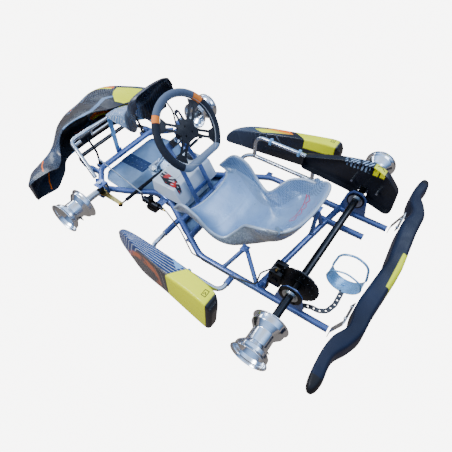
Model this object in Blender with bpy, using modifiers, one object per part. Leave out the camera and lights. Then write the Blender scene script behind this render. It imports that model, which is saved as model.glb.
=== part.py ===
"""Rolling chassis of a small racing kart: frame, axle, rims, steering, seat and bodywork.

Metres, +Z up, +Y towards the nose, +X towards the driver's right.
The numbers in the tables are measured from the rear axle (Y) and from the centre plane of the
main rails (Z); `at` moves them so that the row's origin is the underside of the floor tray.
"""
import math

import bmesh
import bpy
from mathutils import Matrix, Vector

# ---- driving dimensions -------------------------------------------------------------------
GAP = 0.0003
ORIGIN_Y = 0.607
RAIL_Z = 0.0175
TRAY_THICK = 0.002

TUBE_R = 0.014
SMALL_TUBE_R = 0.010
STAY_R = 0.009
RAIL_X = 0.283
RAIL_END_Y = -0.160

WHEELBASE = 0.947
AXLE_Z = 0.082
AXLE_R = 0.015
AXLE_BORE = 0.010
AXLE_HALF = 0.485
REAR_RIM_X = 0.4895
REAR_RIM_HALF = 0.071
FRONT_RIM_X = 0.443
FRONT_RIM_HALF = 0.056
STUB_Z = 0.078
SPINDLE_R = 0.0085
KINGPIN_X = 0.285
RIM_STEPS = 20

DISC_X = -0.2315
DISC_R = 0.0825
DISC_HALF = 0.003

COLUMN_FOOT = (0.0, 0.872, 0.048)
COLUMN_HEAD = (0.0, 0.700, 0.295)
WHEEL_CENTRE = (0.0, 0.658, 0.3265)
WHEEL_TILT = math.radians(37.0)
GRIP_R = 0.0155
RING_R = 0.150

PEDAL_PIVOT = (0.150, 1.106, 0.052)
SEAT_X = -0.030

MATERIALS = {
    "frame_blue": ((0.24, 0.33, 0.60), 0.32, 0.65),
    "tray_alloy": ((0.55, 0.66, 0.80), 0.30, 0.90),
    "heel_blue": ((0.03, 0.06, 0.16), 0.40, 0.30),
    "seat_shell_grey": ((0.42, 0.46, 0.50), 0.55, 0.00),
    "seat_cloth": ((0.33, 0.50, 0.72), 0.85, 0.00),
    "steel_dark": ((0.08, 0.09, 0.11), 0.38, 0.90),
    "steel_bright": ((0.72, 0.75, 0.78), 0.22, 1.00),
    "rim_alloy": ((0.78, 0.82, 0.86), 0.18, 1.00),
    "black_alloy": ((0.03, 0.03, 0.04), 0.35, 0.60),
    "gold_alloy": ((0.62, 0.52, 0.25), 0.30, 0.90),
    "plastic_black": ((0.012, 0.014, 0.022), 0.28, 0.00),
    "plastic_yellow": ((0.88, 0.86, 0.09), 0.35, 0.00),
    "plastic_milk": ((0.70, 0.78, 0.86), 0.35, 0.00),
    "rubber_black": ((0.015, 0.015, 0.018), 0.70, 0.00),
    "suede_grey": ((0.16, 0.18, 0.22), 0.90, 0.00),
    "pod_blue": ((0.03, 0.07, 0.22), 0.25, 0.00),
    "cradle_blue": ((0.45, 0.60, 0.78), 0.35, 0.60),
}


# ---- scene --------------------------------------------------------------------------------
def clear_scene():
    for obj in list(bpy.data.objects):
        bpy.data.objects.remove(obj, do_unlink=True)


def new_collection(name):
    made = bpy.data.collections.new(name)
    bpy.context.scene.collection.children.link(made)
    return made


def new_material(name, colour, rough, metal):
    made = bpy.data.materials.new(name)
    made.use_nodes = True
    shader = made.node_tree.nodes["Principled BSDF"]
    shader.inputs["Base Color"].default_value = (*colour, 1.0)
    shader.inputs["Roughness"].default_value = rough
    shader.inputs["Metallic"].default_value = metal
    made.diffuse_color = (*colour, 1.0)
    return made


clear_scene()
KART = new_collection("kart_chassis")
CUTTERS = new_collection("cutters")
SHADERS = {name: new_material(name, *values) for name, values in MATERIALS.items()}


def at(x, y, z):
    """World place of a point given from the rear axle and the rails' centre plane."""
    return Vector((x, y - ORIGIN_Y, z + RAIL_Z))


def finished(mesh):
    """The mesh with its caps welded and every face turned outwards."""
    work = bmesh.new()
    work.from_mesh(mesh)
    bmesh.ops.remove_doubles(work, verts=work.verts, dist=1e-5)
    bmesh.ops.recalc_face_normals(work, faces=work.faces)
    work.to_mesh(mesh)
    work.free()
    return mesh


def baked(obj):
    """Mesh of the evaluated object, in the object's own axes; the object is removed."""
    bpy.context.view_layer.update()
    graph = bpy.context.evaluated_depsgraph_get()
    mesh = bpy.data.meshes.new_from_object(obj.evaluated_get(graph))
    bpy.data.objects.remove(obj, do_unlink=True)
    return finished(mesh)


def temporary(data):
    obj = bpy.data.objects.new("temporary", data)
    CUTTERS.objects.link(obj)
    return obj


def part(name, mesh, shader, origin=(0.0, 0.0, 0.0), turn=None, crease=32.0):
    """A named piece; the mesh is in world axes unless a turn says it lies on +Z."""
    origin = Vector(origin)
    obj = bpy.data.objects.new(name, mesh)
    mesh.name = name
    if turn is None:
        mesh.transform(Matrix.Translation(-origin))
    else:
        obj.rotation_euler = turn
    obj.location = origin
    KART.objects.link(obj)
    mesh.materials.clear()
    mesh.materials.append(SHADERS[shader])
    mesh.shade_smooth()
    mesh.set_sharp_from_angle(angle=math.radians(crease))
    return obj


def cut(obj, *tools):
    """Openings cut by live Booleans; the tools are in the piece's world axes."""
    for mesh in tools:
        tool = bpy.data.objects.new(obj.name + "_cutter", mesh)
        CUTTERS.objects.link(tool)
        tool.hide_render = True
        tool.display_type = "WIRE"
        modifier = obj.modifiers.new("opening", "BOOLEAN")
        modifier.operation = "DIFFERENCE"
        modifier.solver = "EXACT"
        modifier.object = tool
    return obj


def joined(*meshes, operation="UNION"):
    """One closed solid from several that cross each other."""
    result = meshes[0]
    for mesh in meshes[1:]:
        base = temporary(result)
        tool = temporary(mesh)
        modifier = base.modifiers.new("join", "BOOLEAN")
        modifier.operation = operation
        modifier.solver = "EXACT"
        modifier.object = tool
        result = baked(base)
        bpy.data.objects.remove(tool, do_unlink=True)
    return result


# ---- shapes -------------------------------------------------------------------------------
def fillet(points, radius, step=math.radians(22.5)):
    """Polyline with its inner corners rounded."""
    pts = [Vector(p) for p in points]
    path = [pts[0]]
    for a, b, c in zip(pts, pts[1:], pts[2:]):
        back = (a - b).normalized()
        ahead = (c - b).normalized()
        turn = math.pi - back.angle(ahead)
        if turn < 0.02:
            path.append(b)
            continue
        room = 0.48 * min((a - b).length, (c - b).length)
        reach = min(radius * math.tan(turn / 2), room)
        true_radius = reach / math.tan(turn / 2)
        centre = b + (back + ahead).normalized() * (true_radius / math.cos(turn / 2))
        start = b + back * reach - centre
        end = b + ahead * reach - centre
        count = max(1, math.ceil(turn / step - 0.2))
        for i in range(count + 1):
            t = i / count
            first = math.sin((1 - t) * turn) / math.sin(turn)
            second = math.sin(t * turn) / math.sin(turn)
            path.append(centre + start * first + end * second)
    path.append(pts[-1])
    return path


def tube(path, radius, sides=10, closed=False):
    curve = bpy.data.curves.new("tube", "CURVE")
    curve.dimensions = "3D"
    spline = curve.splines.new("POLY")
    spline.points.add(len(path) - 1)
    for point, place in zip(spline.points, path):
        point.co = (*place, 1.0)
    spline.use_cyclic_u = closed
    curve.bevel_depth = radius
    curve.bevel_resolution = (sides - 4) // 2
    curve.use_fill_caps = not closed
    return baked(temporary(curve))


def box(centre, size, turn=None):
    work = bmesh.new()
    matrix = Matrix.Translation(centre)
    if turn is not None:
        matrix = matrix @ turn.to_4x4()
    matrix = matrix @ Matrix.Diagonal((*size, 1.0))
    bmesh.ops.create_cube(work, size=1.0, matrix=matrix)
    mesh = bpy.data.meshes.new("box")
    work.to_mesh(mesh)
    work.free()
    return mesh


def cylinder(start, end, radius, sides=12, end_radius=None):
    start = Vector(start)
    end = Vector(end)
    axis = end - start
    turn = Vector((0, 0, 1)).rotation_difference(axis).to_matrix().to_4x4()
    work = bmesh.new()
    bmesh.ops.create_cone(work, cap_ends=True, cap_tris=False, segments=sides, radius1=radius,
                          radius2=radius if end_radius is None else end_radius,
                          depth=axis.length, matrix=Matrix.Translation((start + end) / 2) @ turn)
    mesh = bpy.data.meshes.new("cylinder")
    work.to_mesh(mesh)
    work.free()
    return mesh


def turned(profile, steps, ring=True):
    """Solid of revolution about +Z from (radius, height) pairs, outer side first, top down."""
    mesh = bpy.data.meshes.new("profile")
    edges = [(i, i + 1) for i in range(len(profile) - 1)]
    if ring:
        edges.append((len(profile) - 1, 0))
    mesh.from_pydata([(r, 0.0, z) for r, z in profile], edges, [])
    obj = temporary(mesh)
    screw = obj.modifiers.new("turn", "SCREW")
    screw.axis = "Z"
    screw.angle = math.tau
    screw.steps = steps
    screw.render_steps = steps
    screw.use_merge_vertices = True
    screw.merge_threshold = 1e-5
    return baked(obj)


def ring(outer, inner, low, high, steps=24):
    return turned([(outer, high), (outer, low), (inner, low), (inner, high)], steps)


def along(mesh, origin, axis):
    """The mesh moved so that its +Z lies on the axis at the origin."""
    turn = Vector((0, 0, 1)).rotation_difference(Vector(axis)).to_matrix().to_4x4()
    mesh.transform(Matrix.Translation(origin) @ turn)
    return mesh


def circle(x, y, radius, count=16):
    angles = [math.tau * i / count for i in range(count)]
    return [(x + radius * math.cos(a), y + radius * math.sin(a)) for a in angles]


def rounded(outline, radius):
    """Closed flat outline with rounded corners."""
    pts = [Vector((x, y, 0.0)) for x, y in outline]
    path = fillet([(pts[-1] + pts[0]) / 2] + pts + [(pts[-1] + pts[0]) / 2], radius,
                  math.radians(45.0))
    return [(p.x, p.y) for p in path[1:-1]]


def plate(outline, thickness, holes=()):
    """Flat plate in the XY plane, centred on Z."""
    curve = bpy.data.curves.new("plate", "CURVE")
    curve.dimensions = "2D"
    curve.fill_mode = "BOTH"
    curve.extrude = thickness / 2
    for loop in (outline, *holes):
        spline = curve.splines.new("POLY")
        spline.points.add(len(loop) - 1)
        for point, (x, y) in zip(spline.points, loop):
            point.co = (x, y, 0.0, 1.0)
        spline.use_cyclic_u = True
    return baked(temporary(curve))


def basis(origin, across, up):
    """Matrix whose X is across, Y is up and Z is their cross product."""
    across = Vector(across).normalized()
    up = Vector(up).normalized()
    facing = across.cross(up)
    turn = Matrix((across, up, facing)).transposed().to_4x4()
    return Matrix.Translation(origin) @ turn


def laid(mesh, origin, across, up):
    mesh.transform(basis(origin, across, up))
    return mesh


def from_faces(verts, faces):
    mesh = bpy.data.meshes.new("faces")
    mesh.from_pydata([tuple(v) for v in verts], [], faces)
    return mesh


def loft(sections):
    """Closed solid through loops of equal length."""
    count = len(sections[0])
    verts = [v for loop in sections for v in loop]
    faces = []
    for i in range(len(sections) - 1):
        for j in range(count):
            k = (j + 1) % count
            faces.append((i * count + j, i * count + k, (i + 1) * count + k, (i + 1) * count + j))
    faces.append(tuple(range(count)))
    faces.append(tuple(range((len(sections) - 1) * count, len(sections) * count)))
    return finished(from_faces(verts, faces))


def sheet(rows, thickness, offset=-1.0, shift=0.0):
    """Closed sheet of even thickness over an open grid of points."""
    count = len(rows[0])
    faces = []
    for i in range(len(rows) - 1):
        for j in range(count - 1):
            faces.append((i * count + j, i * count + j + 1,
                          (i + 1) * count + j + 1, (i + 1) * count + j))
    mesh = from_faces([v for row in rows for v in row], faces)
    if shift:
        mesh.update()
        normals = [v.normal.copy() for v in mesh.vertices]
        for vert, normal in zip(mesh.vertices, normals):
            vert.co += normal * shift
    obj = temporary(mesh)
    solid = obj.modifiers.new("thick", "SOLIDIFY")
    solid.thickness = thickness
    solid.offset = offset
    solid.use_even_offset = True
    solid.use_quality_normals = True
    return baked(obj)


def blended(table, place):
    """Smooth value between the rows of a table whose first column rises."""
    keys = [row[0] for row in table]
    place = min(max(place, keys[0]), keys[-1])
    i = max(k for k in range(len(keys) - 1) if keys[k] <= place)
    t = (place - keys[i]) / (keys[i + 1] - keys[i])
    before = table[max(i - 1, 0)]
    after = table[min(i + 2, len(table) - 1)]
    values = []
    for col in range(1, len(table[0])):
        p1 = table[i][col]
        p2 = table[i + 1][col]
        span = keys[i + 1] - keys[i]
        m1 = (p2 - before[col]) / (keys[i + 1] - before[0]) * span
        m2 = (after[col] - p1) / (after[0] - keys[i]) * span
        values.append((2 * t**3 - 3 * t**2 + 1) * p1 + (t**3 - 2 * t**2 + t) * m1
                      + (-2 * t**3 + 3 * t**2) * p2 + (t**3 - t**2) * m2)
    return values


def soft_corners(corners, radius, per_corner=3):
    """Loop of points round four corners, in the corners' own order."""
    loop = []
    count = len(corners)
    for i in range(count):
        before = corners[i - 1]
        here = corners[i]
        after = corners[(i + 1) % count]
        back = (before - here)
        ahead = (after - here)
        start = here + back.normalized() * min(radius, 0.45 * back.length)
        end = here + ahead.normalized() * min(radius, 0.45 * ahead.length)
        for k in range(per_corner):
            t = k / (per_corner - 1)
            loop.append(start * (1 - t)**2 + here * 2 * t * (1 - t) + end * t**2)
    return loop


# ---- frame --------------------------------------------------------------------------------
RAIL = [(0.283, RAIL_END_Y, 0.0), (0.283, 0.405, 0.0), (0.122, 0.690, 0.0),
        (0.108, 0.765, 0.017), (0.205, 0.872, 0.0445), (0.258, 0.972, 0.052)]
HOOP = [(-0.257, 0.985, 0.052), (-0.170, 1.080, 0.050), (0.170, 1.080, 0.050),
        (0.257, 0.985, 0.052)]
ENGINE_RAIL = [(0.272, 0.340, 0.0), (0.183, 0.225, 0.0), (0.183, -0.096, 0.0)]
UPRIGHTS = [[(-0.053, 0.585, 0.0), (-0.050, 0.663, 0.147), (-0.041, 0.742, 0.235)],
            [(0.053, 0.585, 0.0), (0.050, 0.660, 0.140), (0.041, 0.742, 0.235)]]
STAYS = [[(-0.283, 0.130, 0.004), (-0.200, 0.240, 0.090)],
         [(-0.283, 0.293, 0.004), (-0.203, 0.243, 0.085)],
         [(0.064, 0.086, 0.004), (0.119, 0.098, 0.108)],
         [(0.143, 0.075, 0.004), (0.121, 0.100, 0.106)]]
PANEL_ROD = [(0.042, 0.753, 0.240), (0.047, 0.772, 0.350), (0.072, 0.836, 0.368)]
SOCKET_BORE = (SMALL_TUBE_R + GAP) / math.cos(math.pi / 12)
SOCKETS = [((-0.181, 0.600, 0.0), (-0.273, 0.600, 0.0)), ((-0.283, 0.240, 0.0), (-0.335, 0.240, 0.0)),
           ((0.181, 0.600, 0.0), (0.273, 0.600, 0.0)), ((0.283, 0.172, 0.0), (0.335, 0.172, 0.0)),
           ((-0.190, 1.060, 0.050), (-0.190, 1.128, 0.046)),
           ((0.190, 1.060, 0.050), (0.190, 1.128, 0.046))]


def mirrored(points, side):
    return [(side * x, y, z) for x, y, z in points]


def world(points):
    return [at(*p) for p in points]


def build_yoke(side):
    x = side * 0.281
    back = box(at(side * 0.2585, 0.947, 0.078), (0.004, 0.040, 0.062))
    low = box(at(x, 0.947, 0.049), (0.046, 0.040, 0.005))
    high = box(at(x, 0.947, 0.107), (0.046, 0.040, 0.005))
    return [back, low, high]


def build_hanger(side):
    outline = [(-0.062, 0.004), (-0.044, 0.100), (-0.020, 0.126), (0.020, 0.126),
               (0.044, 0.100), (0.062, 0.004)]
    mesh = plate(rounded(outline, 0.012), 0.004, [circle(0.0, AXLE_Z, 0.0371, 20)])
    return laid(mesh, at(side * RAIL_X, 0.0, 0.0), (0, 1, 0), (0, 0, 1))


def build_frame():
    solids = []
    for side in (-1, 1):
        solids.append(tube(fillet(world(mirrored(RAIL, side)), 0.11), TUBE_R))
    solids.append(tube(fillet(world(HOOP), 0.06), TUBE_R))
    solids.append(tube(world([(-0.228, 0.500, 0.0), (0.228, 0.500, 0.0)]), TUBE_R - 0.0004))
    solids.append(tube(world([(-0.180, 0.585, 0.0), (0.180, 0.585, 0.0)]), TUBE_R - 0.0004))
    solids.append(tube(world([(-0.280, 0.135, 0.0), (0.280, 0.055, 0.0)]), TUBE_R - 0.0004))
    solids.append(tube(fillet(world(ENGINE_RAIL), 0.06), TUBE_R - 0.0002))
    for path in UPRIGHTS:
        solids.append(tube(fillet(world(path), 0.08), SMALL_TUBE_R, 8))
    solids.append(box(at(0, 0.7422, 0.2344), (0.094, 0.032, 0.004),
                      Matrix.Rotation(math.radians(34.85), 3, "X")))
    solids.append(box(at(0, 0.6125, 0.052), (0.106, 0.003, 0.026)))
    for path in STAYS:
        solids.append(tube(world(path), STAY_R, 8))
    for x, y, z in ((-0.208, 0.240, 0.092), (0.120, 0.100, 0.112)):
        solids.append(box(at(x, y, z), (0.032, 0.032, 0.004)))
    for side in (-1, 1):
        solids.extend(build_yoke(side))
        solids.append(build_hanger(side))
        for inner in (-0.0135, 0.0135):
            solids.append(box(at(side * PEDAL_PIVOT[0] + inner, 1.097, 0.052), (0.003, 0.030, 0.020)))
        solids.append(box(at(side * 0.2285, 1.036, 0.0440), (0.022, 0.030, 0.003),
                          Matrix.Rotation(side * math.radians(-47.0), 3, "Z")))
        solids.append(box(at(side * 0.2315, 0.500, -0.0135), (0.030, 0.026, 0.003)))
    for start, end in SOCKETS:
        solids.append(cylinder(at(*start), at(*end), 0.0128, 12))
    solids.append(box(at(-0.030, 1.0930, 0.055), (0.030, 0.006, 0.034)))
    solids.append(tube(fillet(world(PANEL_ROD), 0.03), 0.0035, 6))
    solids.append(box(at(-0.253, 0.1150, 0.010), (0.022, 0.014, 0.050)))
    solids.append(box(at(0.298, 0.425, 0.0), (0.030, 0.026, 0.004)))
    solids.append(box(at(-0.170, 0.722, 0.0155), (0.100, 0.040, 0.003)))
    obj = part("frame", joined(*solids), "frame_blue")
    axis = column_axis()
    bores = [cylinder(at(*COLUMN_FOOT) + axis * 0.20, at(*COLUMN_FOOT) + axis * 0.25, 0.0110, 16)]
    for start, end in SOCKETS:
        start = at(*start)
        end = at(*end)
        reach = (end - start).normalized()
        bores.append(cylinder(start + reach * 0.020, end + reach * 0.01, SOCKET_BORE, 12))
    for side in (-1, 1):
        bores.append(cylinder(at(side * KINGPIN_X, WHEELBASE, 0.03),
                              at(side * KINGPIN_X, WHEELBASE, 0.13), 0.0053, 12))
        px, py, pz = PEDAL_PIVOT
        bores.append(cylinder(at(side * px - 0.02, py, pz), at(side * px + 0.02, py, pz), 0.0043, 10))
    return cut(obj, *bores)


# ---- floor --------------------------------------------------------------------------------
TRAY_BENDS = (0.700, 0.905)
TRAY_RISE = 0.047
TRAY_OUTLINE = [(-0.235, 0.515), (0.235, 0.515), (0.132, 0.690), (0.128, 0.780), (0.205, 0.900),
                (0.195, 1.020), (0.150, 1.060), (-0.150, 1.060), (-0.195, 1.020), (-0.205, 0.900),
                (-0.128, 0.780), (-0.132, 0.690)]


def tray_rise(y):
    low, high = TRAY_BENDS
    return TRAY_RISE * min(max((y - low) / (high - low), 0.0), 1.0)


def build_floor_tray():
    holes = [circle(x, y, 0.003, 8) for x, y in ((-0.06, 0.800), (0.06, 0.800))]
    mesh = plate(rounded(TRAY_OUTLINE, 0.020), TRAY_THICK, holes)
    work = bmesh.new()
    work.from_mesh(mesh)
    for y in TRAY_BENDS:
        everything = work.verts[:] + work.edges[:] + work.faces[:]
        bmesh.ops.bisect_plane(work, geom=everything, plane_co=(0, y, 0), plane_no=(0, 1, 0))
    for vert in work.verts:
        vert.co.z += tray_rise(vert.co.y)
    work.to_mesh(mesh)
    work.free()
    mesh.transform(Matrix.Translation((0, -ORIGIN_Y, TRAY_THICK / 2)))
    part("floor_tray", finished(mesh), "tray_alloy")


def build_heel_plate():
    holes = [circle(x, y, 0.005, 6) for y in (0.94, 0.97, 1.00, 1.03) for x in (-0.042, -0.012)]
    outline = rounded([(-0.062, 0.915), (0.008, 0.915), (0.008, 1.060), (-0.062, 1.060)], 0.008)
    mesh = plate(outline, 0.002, holes)
    height = TRAY_THICK + TRAY_RISE + GAP + 0.001
    mesh.transform(Matrix.Translation((0, -ORIGIN_Y, height)))
    part("heel_plate", mesh, "heel_blue")


# ---- seat ---------------------------------------------------------------------------------
# place along the seat, rim y, rim z, half width, spine y, spine z
SEAT = [(0.00, 0.600, 0.092, 0.165, 0.520, 0.086), (0.12, 0.540, 0.158, 0.182, 0.474, 0.055),
        (0.25, 0.472, 0.146, 0.187, 0.420, 0.028), (0.40, 0.405, 0.086, 0.180, 0.360, 0.003),
        (0.50, 0.352, 0.066, 0.163, 0.300, 0.003), (0.60, 0.312, 0.104, 0.134, 0.235, 0.022),
        (0.70, 0.283, 0.146, 0.124, 0.170, 0.070), (0.80, 0.245, 0.192, 0.148, 0.115, 0.135),
        (0.90, 0.190, 0.220, 0.157, 0.078, 0.215), (1.00, 0.135, 0.234, 0.150, 0.055, 0.290)]
SEAT_ROWS = 13
SEAT_COLUMNS = 11


def seat_rows():
    rows = []
    for i in range(SEAT_ROWS):
        rim_y, rim_z, half, spine_y, spine_z = blended(SEAT, i / (SEAT_ROWS - 1))
        row = []
        for j in range(SEAT_COLUMNS):
            angle = math.pi * (j / (SEAT_COLUMNS - 1) - 0.5)
            across = math.copysign(abs(math.sin(angle)) ** 0.80, angle)
            climb = 1.0 - abs(math.cos(angle)) ** 0.62
            row.append(at(SEAT_X + half * across, spine_y + (rim_y - spine_y) * climb,
                          spine_z + (rim_z - spine_z) * climb))
        rows.append(row)
    return rows


def build_seat():
    shell = sheet(seat_rows(), 0.004, offset=1.0)
    part("seat_shell", shell, "seat_shell_grey", at(SEAT_X, 0.30, 0.0), crease=50)
    pad = sheet(seat_rows(), 0.010, offset=-1.0, shift=-GAP)
    part("seat_pad", pad, "seat_cloth", at(SEAT_X, 0.30, 0.0), crease=60)


# ---- rear axle ----------------------------------------------------------------------------
AXLE = at(0, 0, AXLE_Z)
TURN_RIGHT = (0.0, math.pi / 2, 0.0)
TURN_LEFT = (0.0, -math.pi / 2, 0.0)


def side_turn(side):
    return TURN_RIGHT if side > 0 else TURN_LEFT


def on_axle(x):
    return at(x, 0, AXLE_Z)


def build_bearings():
    for side, name in ((-1, "left"), (1, "right")):
        carrier = turned([(0.046, 0.0064), (0.046, 0.0024), (0.0362, 0.0024), (0.0362, -0.0100),
                          (0.0319, -0.0100), (0.0319, 0.0064)], 20)
        carrier = joined(carrier, *[cylinder(turned_place(0.0392, a, 0.0050),
                                             turned_place(0.0392, a, 0.0100), 0.0048, 6)
                                    for a in (90, 210, 330)])
        part("bearing_carrier_" + name, carrier, "steel_dark", on_axle(side * RAIL_X),
             side_turn(side))
        bearing = turned([(0.0310, 0.0060), (0.0310, -0.0095), (0.0222, -0.0082),
                          (0.0215, -0.0145), (AXLE_R + GAP, -0.0145), (AXLE_R + GAP, 0.0110),
                          (0.0215, 0.0110), (0.0222, 0.0048)], 20)
        part("axle_bearing_" + name, bearing, "steel_bright", on_axle(side * RAIL_X),
             side_turn(side))


def turned_place(radius, degrees, height):
    angle = math.radians(degrees)
    return Vector((radius * math.cos(angle), radius * math.sin(angle), height))


def build_rear_axle():
    mesh = ring(AXLE_R, AXLE_BORE, -AXLE_HALF, AXLE_HALF, 24)
    part("rear_axle", mesh, "steel_dark", AXLE, TURN_RIGHT)


def build_rear_hubs():
    web = 0.4785 - GAP
    for side, name in ((-1, "left"), (1, "right")):
        mesh = turned([(0.0360, web), (0.0360, web - 0.008), (0.0235, web - 0.012),
                       (0.0225, 0.402), (0.0210, 0.400), (AXLE_R + GAP, 0.400),
                       (AXLE_R + GAP, web)], 24)
        mesh.transform(Matrix.Translation((0, 0, -0.440)))
        bolt = cylinder((0.0205, 0, -0.020), (0.0265, 0, -0.020), 0.0042, 8)
        part("rear_hub_" + name, joined(mesh, bolt), "steel_bright", on_axle(side * 0.440),
             side_turn(side))


def rim_profile(half, web_low, web_high, bore):
    """Rim section: outer side from the outboard flange to the inboard one, then back inside."""
    outer = [(0.0685, half), (0.0685, half - 0.003), (0.0618, half - 0.006),
             (0.0605, 0.64 * half), (0.0415, 0.34 * half), (0.0415, -0.34 * half),
             (0.0605, -0.64 * half), (0.0618, 0.006 - half), (0.0685, 0.003 - half),
             (0.0685, -half), (0.0655, -half)]
    inner = [(0.0575, -0.66 * half), (0.0385, -0.35 * half)]
    web = [(0.0385, web_low), (bore, web_low), (bore, web_high), (0.0385, web_high)]
    back = [(0.0385, 0.35 * half), (0.0575, 0.66 * half), (0.0655, half)]
    return outer + inner + web + back


def build_rear_rims():
    for side, name in ((-1, "left"), (1, "right")):
        mesh = turned(rim_profile(REAR_RIM_HALF, -0.0110, -0.0050, 0.0155), RIM_STEPS)
        bolts = [cylinder(turned_place(0.0285, a, -0.0055), turned_place(0.0285, a, 0.0005),
                          0.0055, 6) for a in (90, 210, 330)]
        part("rear_rim_" + name, joined(mesh, *bolts), "rim_alloy", on_axle(side * REAR_RIM_X),
             side_turn(side))


def build_brake_disc():
    mesh = ring(DISC_R, 0.0305, -DISC_HALF, DISC_HALF, 32)
    part("brake_disc", mesh, "steel_dark", on_axle(DISC_X), TURN_LEFT)
    hub = turned([(0.0300, 0.0045), (0.0300, -0.0034), (0.0400, -0.0034), (0.0400, -0.0085),
                  (0.0225, -0.0085), (0.0215, -0.0300), (AXLE_R + GAP, -0.0300),
                  (AXLE_R + GAP, 0.0045)], 24)
    part("brake_disc_hub", hub, "black_alloy", on_axle(DISC_X), TURN_LEFT)


def build_caliper():
    y = 0.080
    z = 0.085
    body = box(at(DISC_X, y, z), (0.066, 0.050, 0.078))
    slot = box(at(DISC_X, y - 0.009, z), (0.0262, 0.050, 0.090))
    bevelled = eased(joined(body, slot, operation="DIFFERENCE"), 0.004)
    solids = [bevelled]
    for dz in (-0.026, 0.026):
        solids.append(cylinder(at(DISC_X - 0.037, y + 0.016, z + dz),
                               at(DISC_X + 0.037, y + 0.016, z + dz), 0.0048, 6))
    solids.append(cylinder(at(DISC_X - 0.0385, y - 0.002, z), at(DISC_X - 0.030, y - 0.002, z),
                           0.0125, 16))
    solids.append(box(at(-0.253, 0.1055, 0.032), (0.020, 0.0040, 0.072)))
    solids.append(cylinder(at(DISC_X - 0.022, y, z + 0.034), at(DISC_X - 0.022, y, z + 0.047), 0.0052, 8))
    part("brake_caliper", joined(*solids), "black_alloy", at(DISC_X, y, z))
    for side, name in ((-1, "left"), (1, "right")):
        x = DISC_X + side * (DISC_HALF + 0.0004 + 0.0045)
        block = eased(box(at(x, y - 0.003, z - 0.002), (0.0090, 0.032, 0.040)), 0.001, 1)
        part("brake_pad_" + name, block, "rubber_black", at(x, y, z))


def eased(mesh, width, segments=2):
    """Solid with its sharp edges rounded."""
    obj = temporary(mesh)
    bevel = obj.modifiers.new("ease", "BEVEL")
    bevel.width = width
    bevel.segments = segments
    bevel.limit_method = "ANGLE"
    bevel.angle_limit = math.radians(40.0)
    bevel.use_clamp_overlap = True
    return baked(obj)


# ---- front wheels -------------------------------------------------------------------------
BALL = (0.290, 0.832, 0.0535)


def build_front_corner(side, name):
    pin = at(side * KINGPIN_X, WHEELBASE, STUB_Z)
    right = Vector((side, 0, 0))
    up = Vector((0, 0, 1))
    sleeve = cylinder(pin - up * 0.0258, pin + up * 0.0258, 0.0115, 16)
    spindle = cylinder(pin + right * 0.004, pin + right * 0.193, SPINDLE_R, 16)
    shoulder = cylinder(pin + right * 0.008, pin + right * 0.0245, 0.0125, 16)
    nut = cylinder(pin + right * 0.1785, pin + right * 0.1885, 0.0135, 6)
    stub = part("stub_axle_" + name, joined(sleeve, spindle, shoulder, nut), "black_alloy", pin)
    cut(stub, cylinder(pin - up * 0.04, pin + up * 0.04, 0.0055, 12))
    bolt = joined(cylinder(pin - up * 0.044, pin + up * 0.036, 0.0050, 12),
                  cylinder(pin + up * 0.0320, pin + up * 0.0400, 0.0088, 6),
                  cylinder(pin - up * 0.0400, pin - up * 0.0320, 0.0088, 6))
    part("kingpin_" + name, bolt, "steel_bright", pin)
    build_steering_arm(side, name, pin)
    x = FRONT_RIM_X - KINGPIN_X
    spacer = ring(0.0145, SPINDLE_R + GAP, 0.0250, x - 0.0212, 20)
    part("wheel_spacer_" + name, along(spacer, pin, right), "steel_bright", pin)
    bearing = turned([(0.0172, 0.0200), (0.0172, -0.0200), (0.0125, -0.0188),
                      (0.0120, -0.0208), (SPINDLE_R + GAP, -0.0208), (SPINDLE_R + GAP, 0.0202),
                      (0.0120, 0.0202), (0.0125, 0.0188)], 16)
    centre = at(side * FRONT_RIM_X, WHEELBASE, STUB_Z)
    part("front_bearing_" + name, bearing, "steel_dark", centre, side_turn(side))
    rim = turned(front_rim_profile(), RIM_STEPS)
    part("front_rim_" + name, rim, "rim_alloy", centre, side_turn(side))


def front_rim_profile():
    half = FRONT_RIM_HALF
    profile = rim_profile(half, -0.004, 0.004, 0.0175)
    i = profile.index((0.0175, -0.004))
    hub = [(0.0225, -0.004), (0.0215, -0.0195), (0.0175, -0.0195),
           (0.0175, 0.0195), (0.0215, 0.0195), (0.0225, 0.004)]
    return profile[:i] + hub + profile[i + 2:]


def build_steering_arm(side, name, pin):
    bx, by, bz = BALL
    outline = [(-0.019, 0.010), (-0.012, -0.030), (-0.009, -0.110), (-0.009, -0.124),
               (0.009, -0.124), (0.009, -0.110), (0.012, -0.030), (0.019, 0.010), (0.0, 0.019)]
    mesh = plate(rounded(outline, 0.008), 0.0040, [circle(0, 0, 0.0123, 12)])
    slant = Matrix.Rotation(math.atan2(side * (bx - KINGPIN_X), WHEELBASE - by), 4, "Z")
    mesh.transform(Matrix.Translation((pin.x, pin.y, at(0, 0, 0.0622).z)) @ slant)
    ball = at(side * bx, by, bz)
    up = Vector((0, 0, 1))
    stem = cylinder(ball - up * 0.0085, ball + up * 0.0130, 0.0036, 10)
    head = cylinder(ball + up * 0.0090, ball + up * 0.0140, 0.0068, 6)
    part("steering_arm_" + name, joined(mesh, stem, head), "gold_alloy", pin)


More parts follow.
